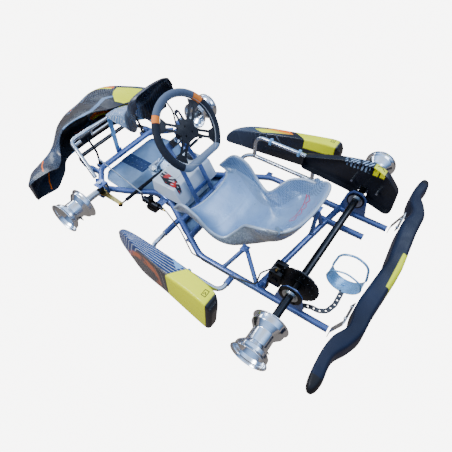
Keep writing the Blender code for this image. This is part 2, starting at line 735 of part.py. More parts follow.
def build_tie_rod(side, name):
    outer = at(side * BALL[0], BALL[1], BALL[2])
    inner = at(side * 0.020, 0.8199, 0.0600)
    axis = column_axis()
    reach = (inner - outer).normalized()
    eye = ring(0.0100, 0.0042, -0.0050, 0.0050, 16)
    eye.transform(Matrix.Translation(outer))
    solids = [eye]
    solids.append(cylinder(outer + reach * 0.0070, outer + reach * 0.050, 0.0040, 10))
    solids.append(cylinder(outer + reach * 0.034, inner - reach * 0.034, 0.0080, 12))
    solids.append(cylinder(inner - reach * 0.050, inner - reach * 0.004, 0.0040, 10))
    solids.append(cylinder(inner - axis * 0.0050, inner + axis * 0.0050, 0.0100, 16))
    part("tie_rod_" + name, joined(*solids), "black_alloy", outer)


# ---- steering -----------------------------------------------------------------------------
def column_axis():
    return (at(*COLUMN_HEAD) - at(*COLUMN_FOOT)).normalized()


def wheel_normal():
    return Vector((0, -math.cos(WHEEL_TILT), math.sin(WHEEL_TILT)))


def wheel_up():
    return Vector((0, math.sin(WHEEL_TILT), math.cos(WHEEL_TILT)))


def build_column():
    foot = at(*COLUMN_FOOT)
    head = at(*COLUMN_HEAD)
    axis = column_axis()
    elbow = at(0, 0.845, 0.0868)
    drop = axis.cross(Vector((1, 0, 0)))
    if drop.z > 0:
        drop = -drop
    outline = [(-0.030, 0.044), (-0.014, -0.004), (-0.010, -0.014), (0.010, -0.014),
               (0.014, -0.004), (0.030, 0.044), (0.012, 0.047), (-0.012, 0.047)]
    arm = plate(outline, 0.004)
    arm.transform(basis(elbow, (1, 0, 0), drop))
    shaft = cylinder(foot, head, SMALL_TUBE_R, 16)
    stops = [cylinder(foot + axis * t, foot + axis * (t + 0.006), 0.0135, 16)
             for t in (0.020, 0.2505)]
    bolts = []
    for x in (-0.020, 0.020):
        pin = elbow + drop * 0.036 + Vector((x, 0, 0))
        bolts.append(cylinder(pin, pin + axis * 0.0085, 0.0058, 6))
    part("steering_column", joined(shaft, arm, *stops, *bolts), "steel_bright", foot)
    lower = foot + axis * 0.012
    loop = along(ring(0.0165, SMALL_TUBE_R + GAP, -0.0060, 0.0060, 20), lower, axis)
    base_z = TRAY_THICK + tray_rise(0.900) + 0.0012
    base = box((0, 0.894 - ORIGIN_Y, base_z + 0.0035), (0.050, 0.034, 0.004),
               Matrix.Rotation(math.atan2(TRAY_RISE, 0.205), 3, "X"))
    posts = [box((x, 0.878 - ORIGIN_Y, base_z + 0.014), (0.0040, 0.030, 0.026))
             for x in (-0.0150, 0.0150)]
    part("column_bearing_lower", joined(loop, base, *posts), "steel_bright", lower)
    upper = foot + axis * 0.2400
    block = box(upper, (0.050, 0.032, 0.020), Matrix.Rotation(math.radians(34.85), 3, "X"))
    obj = part("column_bearing_upper", eased(block, 0.004), "plastic_black", upper)
    cut(obj, cylinder(upper - axis * 0.02, upper + axis * 0.02, SMALL_TUBE_R + GAP, 20))


def build_boss():
    head = at(*COLUMN_HEAD)
    centre = at(*WHEEL_CENTRE)
    axis = column_axis()
    facing = wheel_normal()
    cup = cylinder(head - axis * 0.016, head + axis * 0.016, 0.0165, 20)
    post = cylinder(head + axis * 0.004, centre - facing * 0.010, 0.0150, 20, 0.0190)
    flange = cylinder(centre - facing * 0.0130, centre - facing * 0.0023, 0.0300, 24)
    obj = part("steering_boss", joined(cup, post, flange), "black_alloy", centre)
    cut(obj, cylinder(head - axis * 0.03, head + axis * GAP, SMALL_TUBE_R + GAP, 16))


SPOKE_ANGLES = (-36.0, 38.0, 142.0, 216.0)
LEVER = [(0.036, -0.016), (0.084, -0.0125), (0.093, -0.006), (0.093, 0.006), (0.084, 0.0125),
         (0.036, 0.016)]


def spoke_outline(degrees, reach):
    """Points of one spoke, from the hub out to the ring and back."""
    turn = Matrix.Rotation(math.radians(degrees), 2)
    pts = [(0.036, -0.021), (0.060, -0.016), (reach - 0.028, -0.016), (reach - 0.0045, -0.030),
           (reach, 0.0), (reach - 0.0045, 0.030), (reach - 0.028, 0.016), (0.060, 0.016),
           (0.036, 0.021)]
    return [tuple(turn @ Vector(p)) for p in pts]


def spoke_slot(degrees, far=0.104):
    turn = Matrix.Rotation(math.radians(degrees), 2)
    pts = [(0.052, -0.0060), (far, -0.0060), (far, 0.0060), (0.052, 0.0060)]
    return [tuple(turn @ Vector(p)) for p in pts]


def build_wheel():
    centre = at(*WHEEL_CENTRE)
    reach = RING_R - GRIP_R - GAP - 0.0022
    outline = []
    quarter = Matrix.Rotation(math.pi / 2, 2)
    for degrees in SPOKE_ANGLES:
        outline += spoke_outline(degrees, reach)
        if degrees == SPOKE_ANGLES[1]:
            outline += [tuple(quarter @ Vector(p)) for p in LEVER]
    slots = [spoke_slot(a) for a in SPOKE_ANGLES] + [spoke_slot(90.0, 0.080)]
    solids = [plate(outline, 0.004, slots)]
    for degrees in (90, 210, 330):
        place = turned_place(0.022, degrees, 0.0)
        solids.append(cylinder(place, place + Vector((0, 0, 0.0055)), 0.0045, 6))
    mesh = laid(joined(*solids), centre, (1, 0, 0), wheel_up())
    part("steering_wheel_plate", mesh, "black_alloy", centre)
    part("steering_wheel_grip", tube(grip_path(), GRIP_R, 10, closed=True), "suede_grey", centre)


def grip_path():
    flat = 0.118
    corner = 0.035
    cy = corner - flat
    cx = math.sqrt((RING_R - corner) ** 2 - cy ** 2)
    low = math.atan2(cy, cx)
    points = []
    for i in range(21):
        angle = low + (math.pi - 2 * low) * i / 20
        points.append((RING_R * math.cos(angle), RING_R * math.sin(angle)))
    for i in range(1, 4):
        angle = (math.pi - low) + (math.pi / 2 + low) * i / 3
        points.append((-cx + corner * math.cos(angle), cy + corner * math.sin(angle)))
    for i in range(3):
        angle = -math.pi / 2 + (low + math.pi / 2) * i / 3
        points.append((cx + corner * math.cos(angle), cy + corner * math.sin(angle)))
    matrix = basis(at(*WHEEL_CENTRE), (1, 0, 0), wheel_up())
    return [matrix @ Vector((x, y, 0)) for x, y in points]


# ---- pedals and brake line ----------------------------------------------------------------
def build_pedal(name, side, shader, pad_x):
    px, py, pz = PEDAL_PIVOT
    pivot = at(side * px, py, pz)
    hub = cylinder(pivot - Vector((0.0115, 0, 0)), pivot + Vector((0.0115, 0, 0)), 0.0085, 16)
    pin = cylinder(pivot - Vector((0.0185, 0, 0)), pivot + Vector((0.0185, 0, 0)), 0.0040, 10)
    lean = side * pad_x
    arm = tube(fillet([pivot, pivot + Vector((lean * 0.6, 0.004, 0.065)),
                       pivot + Vector((lean, 0.052, 0.122))], 0.04), 0.0055, 8)
    pad = box(pivot + Vector((lean, 0.0560, 0.118)), (0.062, 0.008, 0.030),
              Matrix.Rotation(math.radians(-24.0), 3, "X"))
    part(name, joined(hub, pin, arm, eased(pad, 0.003)), shader, pivot)


ROD_REAR = (-0.198, 0.7885, 0.0740)
ROD_FRONT = (-0.156, 1.0960, 0.0905)


def build_brake_line():
    rear = at(*ROD_REAR)
    front = at(*ROD_FRONT)
    rod = cylinder(rear, front, 0.0030, 10)
    clevis = box(rear + Vector((0, 0.0, -0.0125)), (0.010, 0.0030, 0.037))
    grip = cylinder(front - (front - rear).normalized() * 0.026, front, 0.0055, 8)
    part("brake_rod", joined(rod, clevis, grip), "steel_bright", rear)
    body = [cylinder(at(-0.203, 0.688, 0.048), at(-0.201, 0.776, 0.048), 0.0145, 16),
            cylinder(at(-0.203, 0.664, 0.048), at(-0.203, 0.690, 0.048), 0.0080, 12),
            cylinder(at(-0.201, 0.774, 0.048), at(-0.201, 0.7845, 0.048), 0.0060, 12),
            box(at(-0.202, 0.722, 0.028), (0.036, 0.052, 0.0200)),
            cylinder(at(-0.202, 0.730, 0.055), at(-0.202, 0.730, 0.077), 0.0125, 16),
            cylinder(at(-0.202, 0.730, 0.076), at(-0.202, 0.730, 0.083), 0.0138, 12)]
    part("brake_master_cylinder", joined(*body), "black_alloy", at(-0.202, 0.73, 0.048))
    path = [(-0.203, 0.6635, 0.048), (-0.206, 0.640, 0.048), (-0.240, 0.540, 0.026),
            (-0.303, 0.430, 0.020), (-0.304, 0.236, 0.020), (-0.300, 0.130, 0.050),
            (-0.288, 0.125, 0.120), (DISC_X - 0.022, 0.080, 0.155),
            (DISC_X - 0.022, 0.080, 0.1325)]
    part("brake_hose", tube(fillet(world(path), 0.03, math.radians(22)), 0.0032, 6),
         "rubber_black", at(*path[4]))


# ---- bars ---------------------------------------------------------------------------------
def side_bar(side, name, rear_y, outer_x, hoop=None):
    """Bar round one side; only the right one carries a raised hoop."""
    x = side * outer_x
    lower = [(side * 0.203, 0.600, 0.0), (x, 0.600, 0.0), (x, rear_y, 0.0), (side * 0.305, rear_y, 0.0)]
    solids = [tube(fillet(world(lower), 0.045), SMALL_TUBE_R, 10)]
    height = 0.0
    front_y, back_y = 0.560, rear_y + 0.068
    if hoop:
        front_y, back_y, height = hoop
        upper = [(x, front_y, 0.0), (x, front_y - 0.004, height), (x, back_y + 0.004, height),
                 (x, back_y, 0.0)]
        solids.append(tube(fillet(world(upper), 0.045), SMALL_TUBE_R - 0.0005, 8))
    for y in (front_y - 0.085, back_y + 0.085):
        solids.append(box(at(x, y, height), (0.026, 0.014, 0.026)))
    part("side_bar_" + name, joined(*solids), "steel_bright", at(x, (front_y + back_y) / 2, 0))


def build_bumper_bars():
    upper = [(-0.2325, 1.050, 0.056), (-0.204, 1.165, 0.128), (-0.185, 1.232, 0.150),
             (0.185, 1.232, 0.150), (0.204, 1.165, 0.128), (0.2325, 1.050, 0.056)]
    solids = [tube(fillet(world(upper), 0.035, math.radians(22)), SMALL_TUBE_R, 10)]
    second = [(-0.2015, 1.172, 0.118), (-0.178, 1.234, 0.116), (0.178, 1.234, 0.116),
              (0.2015, 1.172, 0.118)]
    solids.append(tube(fillet(world(second), 0.035, math.radians(22)), 0.0080, 8))
    for x in (-0.060, 0.060):
        solids.append(cylinder(at(x, 1.233, 0.112), at(x, 1.232, 0.150), 0.0060, 8))
    part("front_bumper_upper", joined(*solids), "steel_bright", at(0, 1.232, 0.150))
    lower = [(-0.190, 1.084, 0.0486), (-0.190, 1.165, 0.0438), (-0.165, 1.240, 0.0400),
             (0.165, 1.240, 0.0400), (0.190, 1.165, 0.0438), (0.190, 1.084, 0.0486)]
    part("front_bumper_lower", tube(fillet(world(lower), 0.030, math.radians(22)), SMALL_TUBE_R, 10),
         "steel_dark", at(0, 1.240, 0.040))


# ---- bodywork -----------------------------------------------------------------------------
# x, rear top y z, brow y z, lip y z, rear bottom y
NOSE = [(-0.458, 1.205, 0.100, 1.230, 0.086, 1.236, 0.052, 1.210),
        (-0.440, 1.205, 0.106, 1.243, 0.090, 1.252, 0.058, 1.213),
        (-0.400, 1.197, 0.112, 1.272, 0.092, 1.290, 0.060, 1.206),
        (-0.350, 1.193, 0.110, 1.290, 0.090, 1.312, 0.060, 1.200),
        (-0.300, 1.215, 0.084, 1.308, 0.086, 1.330, 0.060, 1.230),
        (-0.250, 1.262, 0.074, 1.326, 0.086, 1.352, 0.060, 1.266),
        (-0.200, 1.308, 0.124, 1.350, 0.098, 1.384, 0.062, 1.318),
        (-0.150, 1.334, 0.145, 1.374, 0.116, 1.430, 0.066, 1.339),
        (-0.100, 1.324, 0.165, 1.398, 0.132, 1.473, 0.070, 1.341),
        (-0.050, 1.290, 0.185, 1.414, 0.142, 1.500, 0.074, 1.343),
        (0.000, 1.246, 0.201, 1.428, 0.150, 1.508, 0.082, 1.345),
        (0.060, 1.214, 0.196, 1.436, 0.155, 1.496, 0.090, 1.345),
        (0.110, 1.201, 0.189, 1.450, 0.157, 1.500, 0.090, 1.344),
        (0.160, 1.199, 0.179, 1.457, 0.158, 1.505, 0.090, 1.338),
        (0.220, 1.197, 0.160, 1.446, 0.157, 1.500, 0.090, 1.300),
        (0.270, 1.195, 0.145, 1.410, 0.156, 1.472, 0.090, 1.256),
        (0.320, 1.195, 0.130, 1.352, 0.150, 1.432, 0.086, 1.222),
        (0.370, 1.198, 0.119, 1.300, 0.138, 1.374, 0.080, 1.205),
        (0.410, 1.199, 0.112, 1.262, 0.122, 1.330, 0.072, 1.207),
        (0.440, 1.205, 0.106, 1.238, 0.104, 1.290, 0.062, 1.213),
        (0.458, 1.205, 0.100, 1.232, 0.088, 1.256, 0.052, 1.210)]
NOSE_HALF = 0.458
NOSE_COLUMNS = 23


def nose_column(x):
    top_y, top_z, brow_y, brow_z, lip_y, lip_z, low_y = blended(NOSE, x)
    top = Vector((top_y, top_z))
    brow = Vector((brow_y, brow_z))
    lip = Vector((lip_y, lip_z))
    chin = Vector((lip_y - 0.006, 0.014))
    keel = Vector((chin.x + 0.30 * (low_y - chin.x), 0.003))
    low = Vector((low_y, 0.0))
    crest = top.lerp(brow, 0.5) + Vector((0.004, 0.006))
    line = [top, crest, brow, brow.lerp(lip, 0.6) + Vector((0.006, 0.008)), lip, chin,
            keel, low]
    return [at(x, y, z) for y, z in line]


def nose_wall(x):
    """Side wall: the same points drawn back to the rear edge."""
    top_y, top_z, _, _, _, _, low_y = blended(NOSE, x)
    places = [k / 7 for k in range(8)]
    return [at(x, top_y + (low_y - top_y) * t, top_z * (1 - t)) for t in places]


def build_nose():
    rows = [nose_wall(-NOSE_HALF - 0.0001)]
    for i in range(NOSE_COLUMNS):
        swing = math.pi * (i / (NOSE_COLUMNS - 1) - 0.5)
        rows.append(nose_column(NOSE_HALF * math.sin(swing * 0.62) / math.sin(math.pi * 0.31)))
    rows.append(nose_wall(NOSE_HALF + 0.0001))
    part("nose_fairing", sheet(rows, 0.0035, offset=1.0), "plastic_black", at(0, 1.3, 0.1),
         crease=40)


# place along the panel, y, z, half width, depth of the side walls
PANEL = [(0.00, 1.118, 0.250, 0.034, 0.008), (0.16, 1.070, 0.274, 0.042, 0.036),
         (0.34, 1.010, 0.300, 0.047, 0.062), (0.48, 0.962, 0.322, 0.056, 0.084),
         (0.60, 0.928, 0.350, 0.074, 0.078), (0.72, 0.900, 0.388, 0.094, 0.070),
         (0.84, 0.874, 0.424, 0.108, 0.062), (0.94, 0.848, 0.450, 0.108, 0.052),
         (1.00, 0.826, 0.460, 0.100, 0.038)]
PANEL_ROWS = 13
PANEL_SECTION = ((-1.06, 1.0), (-1.01, 0.45), (-0.92, 0.10), (-0.60, -0.06), (0.0, -0.12),
                 (0.60, -0.06), (0.92, 0.10), (1.01, 0.45), (1.06, 1.0))


def panel_row(s):
    y, z, half, wall = blended(PANEL, s)
    y2, z2, _, _ = blended(PANEL, min(s + 0.02, 1.0))
    y1, z1, _, _ = blended(PANEL, max(s - 0.02, 0.0))
    run = Vector((0, y2 - y1, z2 - z1)).normalized()
    down = Vector((1, 0, 0)).cross(run)
    if down.z > 0:
        down = -down
    centre = at(0, y, z)
    return [centre + Vector((half * x, 0, 0)) + down * wall * drop for x, drop in PANEL_SECTION]


def build_front_panel():
    rows = [panel_row(i / (PANEL_ROWS - 1)) for i in range(PANEL_ROWS)]
    part("front_panel", sheet(rows, 0.003, offset=1.0), "plastic_black", at(0, 0.95, 0.31),
         crease=40)
    foot = at(-0.030, 1.0990, 0.045)
    bend = at(-0.030, 1.1020, 0.075)
    tip = at(-0.030, 1.1040, 0.238)
    path = [foot, bend, tip]
    part("front_panel_strut", strip(path, (1, 0, 0), 0.024, 0.0030), "steel_bright", bend)


def strip(path, across, width, thickness):
    """Flat bar bent along a path, its width lying across."""
    across = Vector(across).normalized()
    loops = []
    for i, point in enumerate(path):
        before = path[max(i - 1, 0)]
        after = path[min(i + 1, len(path) - 1)]
        run = (after - before).normalized()
        normal = run.cross(across).normalized()
        w = across * width / 2
        t = normal * thickness / 2
        loops.append([point - w - t, point + w - t, point + w + t, point - w + t])
    return loft(loops)


# y, inner top x z, outer top x z, outer bottom x, inner bottom x
POD = [(0.170, 0.472, 0.138, 0.524, 0.140, 0.528, 0.486), (0.205, 0.457, 0.155, 0.521, 0.155, 0.525, 0.466),
       (0.280, 0.444, 0.158, 0.510, 0.150, 0.514, 0.448), (0.400, 0.428, 0.146, 0.495, 0.134, 0.495, 0.432),
       (0.535, 0.411, 0.122, 0.467, 0.124, 0.478, 0.414), (0.635, 0.400, 0.103, 0.437, 0.111, 0.447, 0.405),
       (0.700, 0.394, 0.080, 0.415, 0.084, 0.424, 0.397), (0.742, 0.392, 0.042, 0.401, 0.044, 0.404, 0.392)]
POD_SECTIONS = 12


def build_pod(side, name, shader):
    sections = []
    for i in range(POD_SECTIONS):
        y = 0.170 + 0.572 * i / (POD_SECTIONS - 1)
        ix, iz, ox, oz, obx, ibx = blended(POD, y)
        corners = [at(side * ix, y, iz), at(side * ox, y, oz), at(side * obx, y + 0.004, -0.004),
                   at(side * ibx, y + 0.004, -0.004)]
        sections.append(soft_corners(corners, 0.010, 3))
    part("side_pod_" + name, loft(sections), shader, at(side * 0.45, 0.42, 0.07), crease=40)


# |x|, front y, rear y, low z, high z
BUMPER = [(0.000, -0.222, -0.284, 0.028, 0.152), (0.120, -0.210, -0.276, 0.030, 0.150),
          (0.220, -0.203, -0.270, 0.030, 0.146), (0.300, -0.214, -0.270, 0.032, 0.138),
          (0.360, -0.188, -0.252, 0.040, 0.132), (0.420, -0.180, -0.226, 0.050, 0.124),
          (0.500, -0.184, -0.230, 0.056, 0.118), (0.538, -0.192, -0.224, 0.064, 0.110),
          (0.550, -0.200, -0.216, 0.076, 0.098)]


def build_rear_bumper():
    halves = [0.0, 0.09, 0.17, 0.235, 0.29, 0.34, 0.39, 0.45, 0.51, 0.540, 0.550]
    places = [-x for x in reversed(halves)] + halves[1:]
    sections = []
    for x in places:
        front, rear, low, high = blended(BUMPER, abs(x))
        corners = [at(x, front, high), at(x, rear + 0.006, high - 0.004), at(x, rear, low),
                   at(x, front, low)]
        sections.append(soft_corners(corners, 0.016, 3))
    part("rear_bumper", loft(sections), "plastic_black", at(0, -0.25, 0.09), crease=40)
    for side, name in ((-1, "left"), (1, "right")):
        x = side * 0.290
        upright = strip([at(x, -0.1700, -0.016), at(x, -0.1700, 0.016), at(x, -0.1975, 0.108)],
                        (1, 0, 0), 0.026, 0.003)
        arm = box(at(side * 0.246, -0.1963, 0.098), (0.092, 0.003, 0.022),
                  Matrix.Rotation(math.radians(16.6), 3, "X"))
        bolts = [cylinder(at(side * bx, -0.190, bz), at(side * bx, -0.1975, bz + 0.002), 0.005, 8)
                 for bx, bz in ((0.215, 0.097), (0.268, 0.097))]
        part("bumper_bracket_" + name, joined(upright, arm, *bolts), "steel_bright",
             at(x, -0.190, 0.0))


GUARD = [(0.287, 0.147), (0.126, 0.205), (0.050, 0.223), (-0.017, 0.231),
         (-0.080, 0.205), (-0.135, 0.149), (-0.143, 0.015), (-0.072, 0.035),
         (0.066, 0.067), (0.291, 0.082)]


def inset(outline, margin):
    """Closed outline (clockwise or not) moved inwards by the margin."""
    centre = Vector((sum(p[0] for p in outline), sum(p[1] for p in outline))) / len(outline)
    count = len(outline)
    lines = []
    for i in range(count):
        a = Vector(outline[i])
        b = Vector(outline[(i + 1) % count])
        run = (b - a).normalized()
        normal = Vector((-run.y, run.x))
        if (centre - a).dot(normal) < 0:
            normal = -normal
        lines.append((a + normal * margin, run))
    points = []
    for i in range(count):
        (a, u) = lines[i - 1]
        (b, v) = lines[i]
        cross = u.x * v.y - u.y * v.x
        t = ((b.x - a.x) * v.y - (b.y - a.y) * v.x) / cross
        points.append(tuple(a + u * t))
    return points


def build_chain_guard():
    outer = rounded(GUARD, 0.012)
    body = laid(plate(outer, 0.032), at(0.3490, 0, 0), (0, 1, 0), (0, 0, 1))
    pocket = laid(plate(rounded(inset(GUARD, 0.003), 0.010), 0.032), at(0.3460, 0, 0), (0, 1, 0),
                  (0, 0, 1))
    mesh = joined(body, pocket, operation="DIFFERENCE")
    bolts = [cylinder(at(0.3360, y, z), at(0.3635, y, z), 0.0050, 8)
             for y, z in ((0.055, 0.122), (-0.061, 0.105))]
    obj = part("chain_guard", joined(mesh, *bolts), "plastic_black", at(0.352, 0.07, 0.12),
               crease=35)
    slot = joined(cylinder(at(0.32, 0, AXLE_Z), at(0.39, 0, AXLE_Z), 0.0200, 16),
                  box(at(0.355, 0.0, 0.030), (0.07, 0.0384, 0.104)))
    return cut(obj, slot)


STRAP = [(-0.2690, -0.045), (-0.2570, -0.078), (-0.2565, -0.103), (-0.241, -0.129), (-0.200, -0.141),
         (-0.140, -0.139), (-0.105, -0.134)]
STRAP_Z = 0.0348


def offset_path(points, distance):
    """Flat path moved sideways by a distance."""
    moved = []
    for i, point in enumerate(points):
        before = points[max(i - 1, 0)]
        after = points[min(i + 1, len(points) - 1)]
        run = (after - before).normalized()
        moved.append(point + Vector((-run.y, run.x, 0.0)) * distance)
    return moved


def build_strap():
    path = fillet([at(x, y, 0.0) for x, y in STRAP], 0.030, math.radians(30))
    sides = offset_path(path, 0.0095) + list(reversed(offset_path(path, -0.0095)))
    run = [(b - a).length for a, b in zip(path, path[1:])]
    holes = []
    for k in range(1, 8):
        left = sum(run) * k / 8.6
        i = 0
        while left > run[i]:
            left -= run[i]
            i += 1
        spot = path[i].lerp(path[i + 1], left / run[i])
        holes.append(circle(spot.x, spot.y, 0.0028, 6))
    flat = plate([(p.x, p.y) for p in sides], 0.003, holes)
    flat.transform(Matrix.Translation((0, 0, at(0, 0, STRAP_Z).z)))
    return flat


def build_cradle():
    centre = at(-0.1075, -0.130, 0.100)
    arc = []
    for i in range(9):
        angle = math.radians(188 + 164 * i / 8)
        arc.append(centre + Vector((0, 0.0635 * math.cos(angle), 0.0635 * math.sin(angle))))
    solids = [strip(arc, (1, 0, 0), 0.060, 0.003), build_strap()]
    solids.append(box(at(-0.2755, -0.050, STRAP_Z), (0.0100, 0.016, 0.010)))
    for x, top, radius in ((-0.1350, 0.135, 0.0035), (-0.0805, 0.172, 0.0045)):
        hoop = [(x, -0.0668, 0.084), (x, -0.0672, 0.096), (x, -0.078, top - 0.010),
                (x, -0.130, top + 0.010), (x, -0.182, top - 0.010), (x, -0.1928, 0.096),
                (x, -0.1932, 0.084)]
        solids.append(tube(fillet(world(hoop), 0.05, math.radians(30)), radius, 6))
    part("exhaust_cradle", joined(*solids), "cradle_blue", centre)


def build_tank():
    profile = [(0.618, 0.024), (0.618, 0.030), (0.660, 0.098), (0.786, 0.098), (0.786, 0.040),
               (0.730, 0.024)]
    sections = []
    for x in (-0.126, 0.134):
        sections.append([at(x, y, z) for y, z in profile])
    upper = eased(loft(sections), 0.010, 2)
    lower = eased(box(at(0.0, 0.662, 0.006), (0.180, 0.080, 0.040)), 0.006, 2)
    part("fuel_tank", joined(upper, lower), "plastic_milk", at(0, 0.70, 0.05), crease=50)
    neck = at(0.095, 0.735, 0.098 + GAP)
    cap = turned([(0.0, 0.016), (0.0190, 0.016), (0.0215, 0.0135), (0.0215, 0.0), (0.0, 0.0)],
                 20, ring=False)
    cap.transform(Matrix.Translation(neck))
    part("fuel_cap", cap, "plastic_black", neck)


def build_all():
    build_frame()
    build_floor_tray()
    build_heel_plate()
    build_seat()
    build_bearings()
    build_rear_axle()
    build_rear_hubs()
    build_rear_rims()
    build_brake_disc()
    build_caliper()
    build_front_corner(-1, "left")
    build_front_corner(1, "right")
    build_tie_rod(-1, "left")
    build_tie_rod(1, "right")
    build_column()
    build_boss()
    build_wheel()
    build_pedal("brake_pedal", -1, "black_alloy", -0.010)
    build_pedal("throttle_pedal", 1, "black_alloy", -0.010)
    build_brake_line()
    side_bar(-1, "left", 0.240, 0.376)
    side_bar(1, "right", 0.172, 0.376, (0.560, 0.240, 0.120))
    build_bumper_bars()
    build_nose()
    build_front_panel()
    build_pod(-1, "left", "pod_blue")
    build_pod(1, "right", "plastic_black")
    build_rear_bumper()
    build_chain_guard()
    build_cradle()
    build_tank()


build_all()
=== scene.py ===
"""Looks of the kart chassis: smooth visual shapes, procedural finishes, studio light and camera.

Row frame: metres, +Z up, +Y towards the nose, +X towards the driver's right. The shape tables are
measured from the rear axle (Y) and the rails' centre plane (Z), as in the CAD; `at` moves them.
"""
import math

import bmesh
import bpy
from mathutils import Matrix, Vector, kdtree

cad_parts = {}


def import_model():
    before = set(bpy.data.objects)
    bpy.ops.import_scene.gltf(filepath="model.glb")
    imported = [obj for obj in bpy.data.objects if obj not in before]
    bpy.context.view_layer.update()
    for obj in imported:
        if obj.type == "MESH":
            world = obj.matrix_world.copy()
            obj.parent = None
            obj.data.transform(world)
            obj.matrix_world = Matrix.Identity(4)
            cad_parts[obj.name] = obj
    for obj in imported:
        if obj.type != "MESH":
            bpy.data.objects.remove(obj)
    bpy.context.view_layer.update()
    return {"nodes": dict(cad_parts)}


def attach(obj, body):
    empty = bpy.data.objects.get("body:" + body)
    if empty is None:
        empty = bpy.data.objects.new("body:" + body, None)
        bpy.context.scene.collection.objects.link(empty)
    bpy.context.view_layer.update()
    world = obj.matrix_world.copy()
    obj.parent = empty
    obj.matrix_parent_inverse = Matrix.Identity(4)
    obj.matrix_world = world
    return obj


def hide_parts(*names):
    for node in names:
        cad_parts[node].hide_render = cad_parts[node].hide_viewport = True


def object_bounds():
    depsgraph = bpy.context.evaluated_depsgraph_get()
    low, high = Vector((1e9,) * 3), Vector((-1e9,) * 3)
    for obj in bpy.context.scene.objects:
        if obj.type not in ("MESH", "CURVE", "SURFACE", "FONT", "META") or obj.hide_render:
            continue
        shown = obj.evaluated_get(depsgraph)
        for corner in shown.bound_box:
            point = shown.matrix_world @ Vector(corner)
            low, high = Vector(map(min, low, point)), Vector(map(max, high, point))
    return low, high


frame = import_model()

# Metres. Heights are above the rails' centre plane, except RAIL_Z itself, above the floor.
GAP = 0.0003
ORIGIN_Y = 0.607
RAIL_Z = 0.0175
AXLE_Z = 0.082
AXLE_R = 0.015
STUB_Z = 0.078
WHEELBASE = 0.947
WHEEL_RADIUS = 0.150
WHEEL_CENTRE = (0.0, 0.658, 0.3265)
WHEEL_TILT = math.radians(37.0)
SEAT_X = -0.030


def at(x, y, z):
    """Row-frame place of a point given from the rear axle and the rails' centre plane."""
    return Vector((x, y - ORIGIN_Y, z + RAIL_Z))


# ---- shapes -------------------------------------------------------------------------------
def finished(mesh):
    """Doubled vertices welded and normals turned outwards."""
    work = bmesh.new()
    work.from_mesh(mesh)
    bmesh.ops.remove_doubles(work, verts=work.verts, dist=1e-6)
    bmesh.ops.recalc_face_normals(work, faces=work.faces)
    work.to_mesh(mesh)
    work.free()
    return mesh


def temporary(data):
    """Object that holds a mesh or curve until it is baked."""
    obj = bpy.data.objects.new("temporary", data)
    bpy.context.scene.collection.objects.link(obj)
    return obj


def baked(obj):
    """Mesh of the evaluated object; the object is removed."""
    bpy.context.view_layer.update()
    graph = bpy.context.evaluated_depsgraph_get()
    mesh = bpy.data.meshes.new_from_object(obj.evaluated_get(graph))
    bpy.data.objects.remove(obj, do_unlink=True)
    return finished(mesh)


def merged(*meshes):
    """Several meshes in one, side by side."""
    work = bmesh.new()
    for mesh in meshes:
        work.from_mesh(mesh)
    made = bpy.data.meshes.new("merged")
    work.to_mesh(made)
    work.free()
    return made


def cut(base, *tools):
    """Base mesh with the tools taken away from it."""
    obj = temporary(base)
    cutters = [temporary(tool) for tool in tools]
    for cutter in cutters:
        hole = obj.modifiers.new("hole", "BOOLEAN")
        hole.operation = "DIFFERENCE"
        hole.solver = "EXACT"
        hole.object = cutter
    mesh = baked(obj)
    for cutter in cutters:
        bpy.data.objects.remove(cutter, do_unlink=True)
    return mesh


def eased(mesh, width, segments=3):
    """Sharp edges rounded."""
    obj = temporary(mesh)
    bevel = obj.modifiers.new("ease", "BEVEL")
    bevel.width = width
    bevel.segments = segments
    bevel.limit_method = "ANGLE"
    bevel.angle_limit = math.radians(35.0)
    return baked(obj)


def fillet(points, radius, step=math.radians(8.0)):
    """Polyline with its inner corners rounded."""
    pts = [Vector(p) for p in points]
    path = [pts[0]]
    for a, b, c in zip(pts, pts[1:], pts[2:]):
        back = (a - b).normalized()
        ahead = (c - b).normalized()
        turn = math.pi - back.angle(ahead)
        if turn < 0.02:
            path.append(b)
            continue
        room = 0.48 * min((a - b).length, (c - b).length)
        reach = min(radius * math.tan(turn / 2), room)
        true_radius = reach / math.tan(turn / 2)
        centre = b + (back + ahead).normalized() * (true_radius / math.cos(turn / 2))
        start = b + back * reach - centre
        end = b + ahead * reach - centre
        count = max(2, math.ceil(turn / step))
        for i in range(count + 1):
            t = i / count
            first = math.sin((1 - t) * turn) / math.sin(turn)
            second = math.sin(t * turn) / math.sin(turn)
            path.append(centre + start * first + end * second)
    path.append(pts[-1])
    return path


def tube(path, radius, sides=24, closed=False):
    """Round bar swept along a path."""
    curve = bpy.data.curves.new("tube", "CURVE")
    curve.dimensions = "3D"
    spline = curve.splines.new("POLY")
    spline.points.add(len(path) - 1)
    for point, place in zip(spline.points, path):
        point.co = (*place, 1.0)
    spline.use_cyclic_u = closed
    curve.bevel_depth = radius
    curve.bevel_resolution = (sides - 4) // 2
    curve.use_fill_caps = not closed
    return baked(temporary(curve))


def box(centre, size, turn=None):
    """Block round a centre, turned by a rotation matrix."""
    work = bmesh.new()
    matrix = Matrix.Translation(centre)
    if turn is not None:
        matrix = matrix @ turn.to_4x4()
    matrix = matrix @ Matrix.Diagonal((*size, 1.0))
    bmesh.ops.create_cube(work, size=1.0, matrix=matrix)
    mesh = bpy.data.meshes.new("box")
    work.to_mesh(mesh)
    work.free()
    return mesh


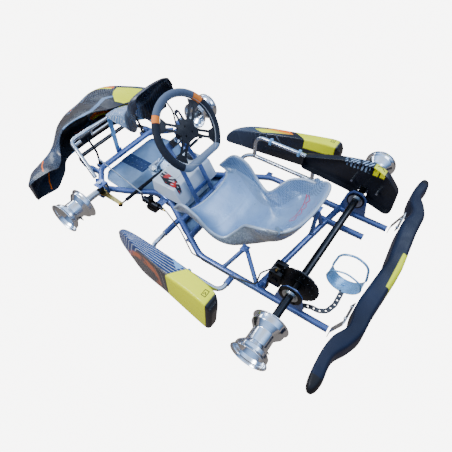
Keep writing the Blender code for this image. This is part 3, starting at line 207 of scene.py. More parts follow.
def cylinder(start, end, radius, sides=32, end_radius=None):
    """Straight bar or cone between two points."""
    start = Vector(start)
    end = Vector(end)
    axis = end - start
    turn = Vector((0, 0, 1)).rotation_difference(axis).to_matrix().to_4x4()
    work = bmesh.new()
    bmesh.ops.create_cone(work, cap_ends=True, cap_tris=False, segments=sides, radius1=radius,
                          radius2=radius if end_radius is None else end_radius,
                          depth=axis.length, matrix=Matrix.Translation((start + end) / 2) @ turn)
    mesh = bpy.data.meshes.new("cylinder")
    work.to_mesh(mesh)
    work.free()
    return mesh


def turned(profile, origin, axis, steps=96):
    """Ring turned from a closed (radius, height) profile, its +Z laid along the axis."""
    verts = []
    faces = []
    count = len(profile)
    for i in range(steps):
        angle = math.tau * i / steps
        verts += [(r * math.cos(angle), r * math.sin(angle), z) for r, z in profile]
    for i in range(steps):
        k = (i + 1) % steps
        for j in range(count):
            m = (j + 1) % count
            faces.append((i * count + j, k * count + j, k * count + m, i * count + m))
    mesh = finished(from_faces(verts, faces))
    turn = Vector((0, 0, 1)).rotation_difference(Vector(axis)).to_matrix().to_4x4()
    mesh.transform(Matrix.Translation(origin) @ turn)
    return mesh


def smooth_profile(profile, radius):
    """Closed (radius, height) profile with its corners rounded."""
    closed = [(profile[-1][0] + profile[0][0], profile[-1][1] + profile[0][1])]
    middle = (closed[0][0] / 2, closed[0][1] / 2)
    pts = [(r, z, 0.0) for r, z in [middle, *profile, middle]]
    return [(p.x, p.y) for p in fillet(pts, radius, math.radians(18))[:-1]]


def from_faces(verts, faces):
    """Mesh of given points and faces."""
    mesh = bpy.data.meshes.new("faces")
    mesh.from_pydata([tuple(v) for v in verts], [], faces)
    return mesh


def loft(sections, capped=True):
    """Skin over loops of equally many points."""
    count = len(sections[0])
    verts = [v for loop in sections for v in loop]
    faces = []
    for i in range(len(sections) - 1):
        for j in range(count):
            k = (j + 1) % count
            faces.append((i * count + j, i * count + k, (i + 1) * count + k, (i + 1) * count + j))
    if capped:
        faces.append(tuple(range(count)))
        faces.append(tuple(range((len(sections) - 1) * count, len(sections) * count)))
    return finished(from_faces(verts, faces))


def sheet(rows, thickness, offset=-1.0, shift=0.0):
    """Closed sheet of even thickness over an open grid of points."""
    count = len(rows[0])
    faces = []
    for i in range(len(rows) - 1):
        for j in range(count - 1):
            faces.append((i * count + j, i * count + j + 1,
                          (i + 1) * count + j + 1, (i + 1) * count + j))
    mesh = from_faces([v for row in rows for v in row], faces)
    if shift:
        mesh.update()
        normals = [v.normal.copy() for v in mesh.vertices]
        for vert, normal in zip(mesh.vertices, normals):
            vert.co += normal * shift
    obj = temporary(mesh)
    solid = obj.modifiers.new("thick", "SOLIDIFY")
    solid.thickness = thickness
    solid.offset = offset
    solid.use_even_offset = True
    solid.use_quality_normals = True
    return baked(obj)


def blended(table, place):
    """Smooth value between the rows of a table whose first column rises."""
    keys = [row[0] for row in table]
    place = min(max(place, keys[0]), keys[-1])
    i = max(k for k in range(len(keys) - 1) if keys[k] <= place)
    t = (place - keys[i]) / (keys[i + 1] - keys[i])
    before = table[max(i - 1, 0)]
    after = table[min(i + 2, len(table) - 1)]
    values = []
    for col in range(1, len(table[0])):
        p1 = table[i][col]
        p2 = table[i + 1][col]
        span = keys[i + 1] - keys[i]
        m1 = (p2 - before[col]) / (keys[i + 1] - before[0]) * span
        m2 = (after[col] - p1) / (after[0] - keys[i]) * span
        values.append((2 * t**3 - 3 * t**2 + 1) * p1 + (t**3 - 2 * t**2 + t) * m1
                      + (-2 * t**3 + 3 * t**2) * p2 + (t**3 - t**2) * m2)
    return values


def smooth_line(points, per_span):
    """Curve through the points, evenly refined."""
    table = [(i, *p) for i, p in enumerate(points)]
    total = (len(points) - 1) * per_span
    return [Vector(blended(table, k / per_span)) for k in range(total + 1)]


def soft_corners(corners, radius, per_corner=7):
    """Loop of corner points, each corner rounded by a small curve."""
    loop = []
    count = len(corners)
    for i in range(count):
        before = corners[i - 1]
        here = corners[i]
        after = corners[(i + 1) % count]
        back = before - here
        ahead = after - here
        start = here + back.normalized() * min(radius, 0.45 * back.length)
        end = here + ahead.normalized() * min(radius, 0.45 * ahead.length)
        for k in range(per_corner):
            t = k / (per_corner - 1)
            loop.append(start * (1 - t)**2 + here * 2 * t * (1 - t) + end * t**2)
    return loop


def circle(x, y, radius, count=24):
    """Points of a circle in a plate's plane."""
    angles = [math.tau * i / count for i in range(count)]
    return [(x + radius * math.cos(a), y + radius * math.sin(a)) for a in angles]


def rounded(outline, radius):
    """Flat outline with its corners rounded."""
    pts = [Vector((x, y, 0.0)) for x, y in outline]
    middle = (pts[-1] + pts[0]) / 2
    path = fillet([middle] + pts + [middle], radius, math.radians(15.0))
    return [(p.x, p.y) for p in path[1:-1]]


def plate(outline, thickness, holes=(), bevel=0.0004):
    """Flat plate with fine bevelled edges, lying in XY."""
    curve = bpy.data.curves.new("plate", "CURVE")
    curve.dimensions = "2D"
    curve.fill_mode = "BOTH"
    curve.extrude = thickness / 2 - bevel
    curve.bevel_depth = bevel
    curve.bevel_resolution = 2
    curve.offset = -bevel
    for loop in (outline, *holes):
        spline = curve.splines.new("POLY")
        spline.points.add(len(loop) - 1)
        for point, (x, y) in zip(spline.points, loop):
            point.co = (x, y, 0.0, 1.0)
        spline.use_cyclic_u = True
    return baked(temporary(curve))


def laid(mesh, origin, across, up):
    """Mesh moved so that its X runs across and its Y runs up."""
    across = Vector(across).normalized()
    up = Vector(up).normalized()
    turn = Matrix((across, up, across.cross(up))).transposed().to_4x4()
    mesh.transform(Matrix.Translation(origin) @ turn)
    return mesh


def mirrored(points, side):
    """Points of the right side, or their mirror image for side -1."""
    return [(side * x, y, z) for x, y, z in points]


def world(points):
    """Shape-table points as row-frame places."""
    return [at(*p) for p in points]


def piece(name, mesh, body, material, replaces=(), crease=35.0):
    """A visual piece in row-frame metres, riding on a CAD body."""
    obj = bpy.data.objects.new(name, mesh)
    mesh.name = name
    bpy.context.scene.collection.objects.link(obj)
    mesh.materials.clear()
    mesh.materials.append(material)
    mesh.shade_smooth()
    mesh.set_sharp_from_angle(angle=math.radians(crease))
    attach(obj, body)
    if replaces:
        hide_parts(*replaces)
    return obj


# ---- material graphs ----------------------------------------------------------------------
class Graph:
    """A node material written as small steps; places are row-frame metres."""

    def __init__(self, name):
        self.made = bpy.data.materials.new(name)
        self.made.use_nodes = True
        self.nodes = self.made.node_tree.nodes
        self.links = self.made.node_tree.links
        self.bsdf = self.nodes["Principled BSDF"]
        self.place = self.node("ShaderNodeTexCoord").outputs["Object"]
        split = self.node("ShaderNodeSeparateXYZ")
        self.put(split.inputs[0], self.place)
        self.x, self.y, self.z = split.outputs
        self.heights = []

    def node(self, kind, **settings):
        made = self.nodes.new(kind)
        for key, value in settings.items():
            setattr(made, key, value)
        return made

    def put(self, socket, value):
        if isinstance(value, bpy.types.NodeSocket):
            self.links.new(value, socket)
        elif isinstance(value, tuple) and len(value) == 3 and socket.type == "RGBA":
            socket.default_value = (*value, 1.0)
        else:
            socket.default_value = value

    def math(self, operation, a, b=0.0, c=0.0, clamp=False):
        made = self.node("ShaderNodeMath", operation=operation, use_clamp=clamp)
        for socket, value in zip(made.inputs, (a, b, c)):
            self.put(socket, value)
        return made.outputs[0]

    def vector(self, operation, a, b=None, scale=None):
        made = self.node("ShaderNodeVectorMath", operation=operation)
        self.put(made.inputs[0], a)
        if b is not None:
            self.put(made.inputs[1], b)
        if scale is not None:
            self.put(made.inputs["Scale"], scale)
        return made.outputs["Value"] if operation in ("DOT_PRODUCT", "LENGTH") else made.outputs[0]

    def stretched(self, x, y, z):
        return self.vector("MULTIPLY", self.place, (x, y, z))

    def noise(self, scale, detail=3.0, place=None, rough=0.5, warp=0.0):
        made = self.node("ShaderNodeTexNoise")
        self.put(made.inputs["Vector"], self.place if place is None else place)
        self.put(made.inputs["Scale"], scale)
        self.put(made.inputs["Detail"], detail)
        self.put(made.inputs["Roughness"], rough)
        self.put(made.inputs["Distortion"], warp)
        return made.outputs[0]

    def span(self, value, low, high, first=0.0, last=1.0):
        """Value mapped from low..high to first..last and clamped."""
        made = self.node("ShaderNodeMapRange")
        for socket, item in zip(made.inputs, (value, low, high, first, last)):
            self.put(socket, item)
        return made.outputs[0]

    def mix(self, share, a, b):
        made = self.node("ShaderNodeMix", data_type="RGBA")
        self.put(made.inputs[0], share)
        self.put(made.inputs[6], a)
        self.put(made.inputs[7], b)
        return made.outputs[2]

    def over(self, colour, mask, tint, share):
        """Tint laid over a colour where the mask is white, at a share of full strength."""
        return self.mix(self.math("MULTIPLY", mask, share), colour, tint)

    def both(self, *values):
        """Where every mask is white."""
        result = values[0]
        for value in values[1:]:
            result = self.math("MULTIPLY", result, value)
        return result

    def either(self, *values):
        """Where any mask is white."""
        result = values[0]
        for value in values[1:]:
            result = self.math("MAXIMUM", result, value)
        return result

    def inside(self, points, soft=0.0006, axes="xy"):
        """Mask of a convex outline drawn on two of the row's axes."""
        centre = Vector((sum(p[0] for p in points), sum(p[1] for p in points))) / len(points)
        least = None
        for i, a in enumerate(points):
            b = points[(i + 1) % len(points)]
            run = Vector((b[0] - a[0], b[1] - a[1])).normalized()
            normal = Vector((-run.y, run.x))
            if (centre - Vector(a)).dot(normal) < 0:
                normal = -normal
            facing = [0.0, 0.0, 0.0]
            facing["xyz".index(axes[0])] = normal.x
            facing["xyz".index(axes[1])] = normal.y
            depth = self.vector("DOT_PRODUCT", self.place, tuple(facing))
            depth = self.math("SUBTRACT", depth, normal.dot(Vector(a)))
            least = depth if least is None else self.math("MINIMUM", least, depth)
        return self.span(least, -soft, soft)

    def reach(self, points, axes="xy"):
        """Distance from a polyline drawn on two of the row's axes."""
        keep = tuple(1.0 if axis in axes else 0.0 for axis in "xyz")
        flat = self.vector("MULTIPLY", self.place, keep)
        least = None
        for a, b in zip(points, points[1:]):
            start = [0.0, 0.0, 0.0]
            run = [0.0, 0.0, 0.0]
            for axis, p, q in zip(axes, a, b):
                start["xyz".index(axis)] = p
                run["xyz".index(axis)] = q - p
            length = sum(v * v for v in run)
            offset = self.vector("SUBTRACT", flat, tuple(start))
            share = self.vector("DOT_PRODUCT", offset, tuple(v / length for v in run))
            share = self.math("ADD", share, 0.0, clamp=True)
            nearest = self.vector("SCALE", tuple(run), scale=share)
            gap = self.vector("LENGTH", self.vector("SUBTRACT", offset, nearest))
            least = gap if least is None else self.math("MINIMUM", least, gap)
        return least

    def line(self, points, half, axes="xy", soft=0.0005):
        """Mask of a polyline drawn with a given half width."""
        return self.span(self.reach(points, axes), half + soft, half - soft)

    def fan(self, origin, count, share, axes="xy"):
        """Thin lines spreading from a point; count is lines per radian."""
        picked = {"x": self.x, "y": self.y, "z": self.z}
        a = self.math("SUBTRACT", picked[axes[0]], origin[0])
        b = self.math("SUBTRACT", picked[axes[1]], origin[1])
        angle = self.math("MULTIPLY", self.math("ARCTAN2", b, a), count)
        wobble = self.math("MULTIPLY", self.noise(3.0, 1.0), 0.9)
        part = self.math("PINGPONG", self.math("ADD", angle, wobble), 0.5)
        return self.span(part, share, share * 0.4)

    def raise_by(self, height, depth):
        """Note a bump of this depth in metres; done() chains them."""
        self.heights.append((height, depth))

    def done(self, colour, rough, metal=0.0, coat=0.0, sheen=0.0, specular=0.5):
        for name, value in (("Base Color", colour), ("Roughness", rough), ("Metallic", metal),
                            ("Coat Weight", coat), ("Sheen Weight", sheen),
                            ("Specular IOR Level", specular)):
            self.put(self.bsdf.inputs[name], value)
        self.put(self.bsdf.inputs["Coat Roughness"], 0.12)
        self.put(self.bsdf.inputs["Sheen Roughness"], 0.4)
        normal = None
        for height, depth in self.heights:
            bump = self.node("ShaderNodeBump")
            self.put(bump.inputs["Height"], height)
            self.put(bump.inputs["Distance"], depth)
            self.put(bump.inputs["Strength"], 0.8)
            if normal is not None:
                self.put(bump.inputs["Normal"], normal)
            normal = bump.outputs[0]
        if normal is not None:
            self.put(self.bsdf.inputs["Normal"], normal)
        return self.made


def grime(g, colour, dust=(0.30, 0.29, 0.28), amount=0.10):
    """Faint dust in clouds."""
    cloud = g.span(g.noise(9.0, 5.0), 0.50, 0.78)
    return g.over(colour, cloud, dust, amount)


def painted_metal(name, low, high, metal, rough, coat=0.3):
    """Metallic paint with specks, scratches and dust."""
    g = Graph(name)
    cloud = g.span(g.noise(7.0, 4.0), 0.32, 0.68)
    speck = g.noise(1400.0, 1.0)
    colour = g.mix(cloud, low, high)
    bright = tuple(min(1.0, v * 1.9 + 0.05) for v in high)
    colour = g.mix(g.span(speck, 0.60, 0.72, 0.0, 0.5), colour, bright)
    scratch = g.span(g.noise(1.0, 2.0, g.stretched(900, 55, 300)), 0.705, 0.72)
    colour = g.over(colour, scratch, bright, 0.35)
    g.raise_by(speck, 0.00006)
    g.raise_by(g.noise(160.0, 3.0), 0.00012)
    rough = g.span(g.noise(23.0, 4.0), 0.3, 0.7, rough - 0.06, rough + 0.12)
    return g.done(grime(g, colour), rough, metal, coat)


def bare_metal(name, tint, rough, rings=None, brushed=None, metal=1.0):
    """Turned, brushed or plated metal."""
    g = Graph(name)
    cloud = g.span(g.noise(14.0, 5.0, warp=0.6), 0.3, 0.7)
    dark = tuple(v * 0.80 for v in tint)
    colour = g.mix(cloud, dark, tint)
    if rings:
        fine = g.noise(1.0, 2.0, g.stretched(*rings))
        g.raise_by(fine, 0.00007)
        colour = g.mix(g.span(fine, 0.35, 0.7, 0.0, 0.25), colour, tuple(v * 0.62 for v in tint))
    if brushed:
        grain = g.noise(1.0, 4.0, g.stretched(*brushed))
        g.raise_by(grain, 0.00009)
        colour = g.mix(g.span(grain, 0.3, 0.7, 0.0, 0.30), colour, tuple(v * 0.7 for v in tint))
    pits = g.span(g.noise(330.0, 2.0), 0.66, 0.72)
    colour = g.over(colour, pits, (0.12, 0.13, 0.15), 0.25)
    g.raise_by(g.noise(90.0, 3.0), 0.00015)
    smear = g.span(g.noise(17.0, 5.0, warp=1.0), 0.35, 0.75, rough - 0.04, rough + 0.16)
    return g.done(grime(g, colour, amount=0.06), smear, metal)


def plain_plastic(name, low, high, rough, coat=0.1, grain=0.00016):
    """Moulded plastic with a fine grain and scuffs."""
    g = Graph(name)
    colour = g.mix(g.span(g.noise(8.0, 4.0), 0.35, 0.68), low, high)
    g.raise_by(g.noise(1100.0, 2.0), grain)
    g.raise_by(g.noise(24.0, 2.0), 0.0005)
    scuff = g.span(g.noise(1.0, 3.0, g.stretched(60, 420, 200)), 0.70, 0.73)
    colour = g.over(colour, scuff, (0.25, 0.27, 0.30), 0.10)
    rough = g.span(g.noise(31.0, 4.0), 0.3, 0.72, rough - 0.06, rough + 0.14)
    return g.done(grime(g, colour, amount=0.05), rough, 0.0, coat, specular=0.3)


YELLOW = (0.88, 0.88, 0.004)
ORANGE = (1.0, 0.17, 0.004)
SKY = (0.26, 0.42, 0.66)
WHITE = (0.75, 0.80, 0.86)
INK = (0.010, 0.010, 0.013)


def carbon(g, axes, dark=(0.013, 0.014, 0.018), light=(0.045, 0.050, 0.062)):
    """Fine dark weave used under the printed graphics."""
    picked = {"x": g.x, "y": g.y, "z": g.z}
    a = g.math("PINGPONG", g.math("MULTIPLY", picked[axes[0]], 210.0), 0.5)
    b = g.math("PINGPONG", g.math("MULTIPLY", picked[axes[1]], 210.0), 0.5)
    weave = g.span(g.math("MULTIPLY", g.math("SUBTRACT", a, 0.25), g.math("SUBTRACT", b, 0.25)),
                   -0.01, 0.01)
    cloud = g.span(g.noise(5.0, 3.0), 0.35, 0.70)
    return g.mix(g.math("MULTIPLY", weave, cloud), dark, light)


def printed(g, colour, rough=0.24, coat=0.12, specular=0.32):
    """Glossy laminated film: grain, fine dents and finger marks."""
    g.raise_by(g.noise(900.0, 2.0), 0.00008)
    g.raise_by(g.noise(15.0, 3.0), 0.0010)
    marks = g.span(g.noise(12.0, 5.0, warp=0.8), 0.3, 0.72, rough - 0.06, rough + 0.18)
    return g.done(grime(g, colour, amount=0.03), marks, 0.0, coat, specular=specular)


def nose_film():
    """Nose print: carbon with a painted navy sheen, a yellow patch, an orange and yellow stripe, wedges and
    rays.
    """
    g = Graph("nose_film")
    colour = carbon(g, "xy", (0.012, 0.013, 0.017), (0.050, 0.054, 0.062))
    # painted navy sheen: a blue reflection painted into the carbon's colour in soft clouds
    sheen = g.span(g.noise(3.5, 2.0), 0.45, 0.75)
    colour = g.over(colour, sheen, (0.035, 0.055, 0.11), 0.55)
    top = g.span(g.z, 0.060, 0.085)
    rays = g.both(g.fan((-0.05, 0.55), 34.0, 0.045), g.span(g.noise(4.0, 2.0), 0.40, 0.50), top)
    colour = g.over(colour, rays, (0.30, 0.38, 0.50), 0.75)
    rear = g.line([(-0.13, 0.73), (0.0, 0.665), (0.13, 0.72), (0.24, 0.68), (0.36, 0.60)], 0.011)
    colour = g.over(colour, rear, SKY, 0.5)
    wedge = g.either(g.inside([(-0.041, 0.841), (-0.029, 0.808), (0.037, 0.821), (0.100, 0.860),
                               (0.056, 0.858)]),
                     g.inside([(0.156, 0.919), (0.190, 0.868), (0.057, 0.810), (0.058, 0.842)]))
    split = g.fan((0.25, 0.60), 60.0, 0.16)
    colour = g.mix(g.both(wedge, split), colour, SKY)
    outer = g.line([(0.128, 0.869), (0.165, 0.878), (0.205, 0.864), (0.232, 0.832), (0.252, 0.788)],
                   0.0125)
    inner = g.line([(0.134, 0.862), (0.162, 0.866), (0.196, 0.852), (0.220, 0.824), (0.238, 0.784)],
                   0.0065)
    colour = g.mix(outer, colour, ORANGE)
    colour = g.mix(inner, colour, YELLOW)
    flecks = g.either(g.line([(-0.020, 0.852), (0.004, 0.838), (-0.012, 0.826)], 0.0024),
                      g.line([(0.014, 0.846), (0.036, 0.836)], 0.0020),
                      g.line([(-0.312, 0.705), (-0.346, 0.662), (-0.374, 0.610)], 0.0028))
    colour = g.mix(flecks, colour, ORANGE)
    patch = g.inside([(0.225, 0.748), (0.267, 0.765), (0.374, 0.644), (0.209, 0.603),
                      (0.156, 0.600), (0.142, 0.649), (0.193, 0.720)])
    colour = g.mix(g.math("MULTIPLY", patch, top), colour, YELLOW)
    back = g.node("ShaderNodeNewGeometry").outputs["Backfacing"]
    colour = g.mix(back, colour, (0.01, 0.01, 0.012))
    return printed(g, colour)


def panel_film():
    """Front panel print: dark with a pale veined tongue."""
    g = Graph("panel_film")
    colour = g.mix(g.span(g.noise(6.0, 3.0), 0.35, 0.7), (0.006, 0.007, 0.011), (0.020, 0.030, 0.060))
    tongue = g.span(g.y, 0.352, 0.372)
    veins = g.either(g.fan((0.0, 0.10), 90.0, 0.10), g.span(g.noise(70.0, 2.0), 0.60, 0.64))
    front = g.mix(veins, (0.13, 0.24, 0.42), WHITE)
    colour = g.mix(tongue, colour, front)
    rays = g.both(g.fan((0.0, 0.02), 40.0, 0.06), g.span(g.noise(6.0, 2.0), 0.45, 0.55))
    colour = g.over(colour, rays, SKY, 0.35)
    return printed(g, colour)


def left_pod_film():
    """Left pod print: blue rays in front, yellow behind, a dark end."""
    g = Graph("left_pod_film")
    blue = g.mix(g.span(g.noise(7.0, 3.0), 0.3, 0.7), (0.006, 0.020, 0.090), (0.020, 0.060, 0.200))
    rays = g.fan((-0.41, 0.42), 70.0, 0.085)
    blue = g.mix(g.math("MULTIPLY", rays, 0.85), blue, WHITE)
    low = g.math("SUBTRACT", 1.0, g.inside([(-0.430, 0.16), (-0.462, -0.05), (-0.492, -0.21),
                                            (-0.38, -0.42), (-0.30, -0.10)]))
    colour = g.mix(low, blue, carbon(g, "yz", (0.035, 0.032, 0.034), (0.10, 0.095, 0.10)))
    veins = g.both(low, g.fan((-0.40, 0.16), 120.0, 0.06))
    colour = g.over(colour, veins, (0.42, 0.30, 0.28), 0.6)
    wedge = g.inside([(-0.424, -0.188), (-0.460, -0.240), (-0.443, -0.259), (-0.420, -0.194)])
    colour = g.mix(wedge, colour, (0.16, 0.36, 0.62))
    stripe = g.line([(-0.440, 0.05), (-0.470, -0.07), (-0.494, -0.185)], 0.0014)
    stripe = g.both(stripe, g.span(g.noise(16.0, 2.0), 0.48, 0.60))
    colour = g.over(colour, stripe, (0.70, 0.16, 0.05), 0.6)
    behind = g.inside([(-0.60, -0.110), (-0.510, -0.203), (-0.428, -0.286), (-0.36, -0.354),
                       (-0.36, -0.60), (-0.60, -0.60)])
    colour = g.mix(behind, colour, YELLOW)
    colour = number_block(g, colour, (-0.484, -0.386))
    colour = g.mix(g.span(g.y, -0.409, -0.413), colour, INK)
    return printed(g, colour)


def number_block(g, colour, middle):
    """Small plain chevrons in a box, printed near a pod's rear end."""
    x, y = middle
    frame_line = g.line([(x - 0.012, y - 0.008), (x + 0.012, y - 0.008), (x + 0.012, y + 0.008),
                         (x - 0.012, y + 0.008), (x - 0.012, y - 0.008)], 0.0014)
    bar = g.line([(x - 0.005, y - 0.004), (x + 0.003, y), (x - 0.005, y + 0.004)], 0.0014)
    return g.mix(g.either(frame_line, bar), colour, (0.012, 0.012, 0.015))


def right_pod_film():
    """Right pod print: dark with a warm band, yellow behind."""
    g = Graph("right_pod_film")
    colour = carbon(g, "xy", (0.010, 0.011, 0.016), (0.026, 0.032, 0.048))
    front = g.span(g.y, -0.12, 0.06)
    colour = g.over(colour, front, (0.045, 0.070, 0.125), 0.7)
    rays = g.both(g.fan((0.36, 0.20), 110.0, 0.07), g.span(g.y, -0.20, -0.12), g.span(g.z, 0.10, 0.14))
    colour = g.over(colour, rays, (0.34, 0.42, 0.55), 0.55)
    band = g.inside([(0.428, -0.010), (0.487, -0.167), (0.455, -0.205), (0.416, -0.057)])
    warm = g.mix(g.span(g.x, 0.436, 0.462), YELLOW, ORANGE)
    colour = g.mix(g.both(band, g.span(g.z, 0.120, 0.128)), colour, warm)
    behind = g.inside([(0.60, -0.105), (0.466, -0.219), (0.417, -0.297), (0.36, -0.375),
                       (0.36, -0.60), (0.60, -0.60)])
    colour = g.mix(g.both(behind, g.span(g.z, 0.120, 0.128)), colour, YELLOW)
    colour = number_block(g, colour, (0.497, -0.385))
    colour = g.mix(g.span(g.y, -0.409, -0.413), colour, INK)
    return printed(g, colour)


def guard_film():
    """Chain guard print: slanting bars and a small yellow patch."""
    g = Graph("guard_film")
    colour = g.mix(g.span(g.noise(7.0, 3.0), 0.35, 0.7), (0.006, 0.006, 0.009), (0.016, 0.018, 0.026))
    strip = g.both(g.span(g.y, -0.617, -0.613), g.span(g.y, -0.497, -0.501), g.span(g.z, 0.185, 0.190))
    slant = g.math("ADD", g.math("MULTIPLY", g.y, 62.0), g.math("MULTIPLY", g.x, 40.0))
    bars = g.span(g.math("PINGPONG", slant, 0.5), 0.26, 0.20)
    colour = g.mix(g.both(strip, bars, g.span(g.noise(60.0, 2.0), 0.40, 0.52)), colour, (0.30, 0.42, 0.58))
    patch = g.both(g.span(g.y, -0.671, -0.668), g.span(g.y, -0.619, -0.622), g.span(g.z, 0.185, 0.190))
    chevron = g.line([(0.350, -0.660), (0.362, -0.645), (0.350, -0.630)], 0.0022)
    yellow = g.mix(chevron, YELLOW, (0.01, 0.01, 0.012))
    colour = g.mix(patch, colour, yellow)
    return printed(g, colour, rough=0.26, coat=0.1, specular=0.25)


def bumper_film():
    """Rear bumper: black plastic with a painted navy sheen in dark blue clouds, and a yellow patch."""
    g = Graph("bumper_film")
    # black plastic with its navy sheen painted into the colour as dark blue clouds
    colour = g.mix(g.span(g.noise(5.0, 3.0), 0.3, 0.7), (0.004, 0.007, 0.018), (0.010, 0.017, 0.042))
    ends = g.span(g.math("ABSOLUTE", g.x), 0.500, 0.504)
    colour = g.mix(ends, colour, (0.010, 0.010, 0.012))
    patch = g.both(g.span(g.x, -0.112, -0.109), g.span(g.x, 0.060, 0.057), g.span(g.y, -0.862, -0.865),
                   g.span(g.z, 0.056, 0.060))
    colour = g.mix(patch, colour, YELLOW)
    return printed(g, colour, rough=0.42, coat=0.0, specular=0.22)


def grip_suede():
    """Steering grip: dark and grey suede sectors, orange bands and a stitched seam."""
    g = Graph("grip_suede")
    centre = at(*WHEEL_CENTRE)
    up = (0.0, math.sin(WHEEL_TILT), math.cos(WHEEL_TILT))
    rel = g.vector("SUBTRACT", g.place, tuple(centre))
    high = g.vector("DOT_PRODUCT", rel, up)
    angle = g.math("MULTIPLY", g.math("ARCTAN2", high, g.x), 180.0 / math.pi)
    angle = g.math("FLOORED_MODULO", angle, 360.0)

    def sector(first, last):
        return g.math("MULTIPLY", g.span(angle, first - 0.3, first + 0.3),
                      g.span(angle, last + 0.3, last - 0.3))

    navy = (0.005, 0.008, 0.018)
    grey = (0.085, 0.115, 0.175)
    pale = (0.190, 0.240, 0.320)
    colour = g.mix(sector(43, 130), navy, grey)
    colour = g.mix(sector(221, 310), colour, pale)
    colour = g.mix(g.either(sector(130, 141), sector(26, 43)), colour, (0.90, 0.24, 0.03))
    nap = g.noise(700.0, 4.0, rough=0.7)
    colour = g.mix(g.span(nap, 0.40, 0.75, 0.0, 0.12), colour, (0.30, 0.33, 0.38))
    radius = g.vector("LENGTH", rel)
    seam = g.math("MULTIPLY", g.span(radius, 0.1353, 0.1361), g.span(radius, 0.1381, 0.1373))
    beat = g.span(g.math("PINGPONG", g.math("MULTIPLY", angle, 0.55), 0.5), 0.16, 0.20)
    stitch = g.math("MULTIPLY", seam, beat)
    colour = g.over(colour, stitch, (0.55, 0.58, 0.62), 0.8)
    edges = None
    for degrees in (26, 43, 130, 141, 221, 310):
        near = g.span(g.math("ABSOLUTE", g.math("SUBTRACT", angle, float(degrees))), 0.55, 0.15)
        edges = near if edges is None else g.math("MAXIMUM", edges, near)
    g.raise_by(nap, 0.00035)
    g.raise_by(stitch, 0.0006)
    g.raise_by(g.math("SUBTRACT", 1.0, edges), 0.0009)
    colour = g.over(colour, edges, (0.02, 0.02, 0.02), 0.5)
    return g.done(colour, g.span(g.noise(40.0, 3.0), 0.3, 0.7, 0.72, 0.92), 0.0, 0.0, 0.10, 0.2)


def seat_skin():
    """Silvery woven seat lining: fine twill, a ribbed band along the rim and a small red motif."""
    g = Graph("seat_skin")
    cloud = g.span(g.noise(5.0, 4.0, warp=0.5), 0.32, 0.70)
    colour = g.mix(cloud, (0.11, 0.22, 0.42), (0.25, 0.40, 0.62))
    a = g.math("MULTIPLY", g.math("ADD", g.y, g.z), 260.0)
    b = g.math("MULTIPLY", g.math("ADD", g.x, g.z), 260.0)
    rib = g.math("PINGPONG", g.math("ADD", a, b), 0.5)
    twill = g.math("PINGPONG", g.math("ADD", a, g.math("MULTIPLY", b, -1.0)), 0.5)
    weave = g.math("MULTIPLY", rib, twill)
    colour = g.mix(g.span(weave, 0.02, 0.20, 0.0, 0.35), colour, (0.52, 0.60, 0.70))
    band_place = g.node("ShaderNodeAttribute", attribute_name="rim_band").outputs["Fac"]
    band = g.span(band_place, 0.45, 0.55)
    rows = g.math("PINGPONG", g.math("MULTIPLY", g.math("ADD", g.y, g.x), 150.0), 0.5)
    columns = g.math("PINGPONG", g.math("MULTIPLY", g.math("SUBTRACT", g.y, g.x), 150.0), 0.5)
    checks = g.span(g.math("MULTIPLY", rows, columns), 0.03, 0.12)
    side = g.span(g.x, 0.02, 0.05)
    ribs = g.both(band, side)
    colour = g.mix(g.both(ribs, checks), colour, (0.10, 0.15, 0.23))
    seam_place = g.node("ShaderNodeAttribute", attribute_name="seam").outputs["Fac"]
    seam = g.span(seam_place, 0.2, 0.8)
    colour = g.over(colour, seam, (0.10, 0.14, 0.20), 0.35)
    start = Vector((0.010, 0.110))
    run = Vector((0.086, 0.086))
    lift = Vector((-0.0085, 0.0085))
    zigzag = [tuple(start + run * (k / 8) + lift * (k % 2)) for k in range(9)]
    edge = [tuple(start - lift * 0.5), tuple(start + run - lift * 0.5)]
    red = g.either(g.line(zigzag, 0.0020, "xz"), g.line(edge, 0.0014, "xz"))
    red = g.both(red, g.span(g.y, -0.430, -0.436))
    colour = g.over(colour, red, (0.62, 0.03, 0.05), 0.85)
    g.raise_by(weave, 0.00035)
    g.raise_by(g.both(ribs, checks), 0.0006)
    g.raise_by(g.noise(30.0, 4.0, warp=0.7), 0.0012)
    rough = g.span(g.noise(19.0, 4.0), 0.3, 0.7, 0.24, 0.42)
    return g.done(colour, rough, 0.25, 0.35, 0.15)


def laminate():
    """Seat shell: chopped-strand laminate under a clear coat."""
    g = Graph("laminate")
    strands = g.noise(1.0, 3.0, g.stretched(260, 60, 90))
    cross = g.noise(1.0, 3.0, g.stretched(60, 240, 110))
    fibre = g.math("MAXIMUM", g.span(strands, 0.52, 0.66), g.span(cross, 0.52, 0.66))
    colour = g.mix(fibre, (0.20, 0.23, 0.27), (0.40, 0.45, 0.51))
    colour = g.mix(g.math("MULTIPLY", g.noise(14.0, 4.0), 0.35), colour, (0.25, 0.30, 0.37))
    g.raise_by(fibre, 0.00025)
    g.raise_by(g.noise(45.0, 4.0), 0.0006)
    return g.done(grime(g, colour), g.span(g.noise(22.0, 4.0), 0.3, 0.7, 0.24, 0.44), 0.1, 0.4)


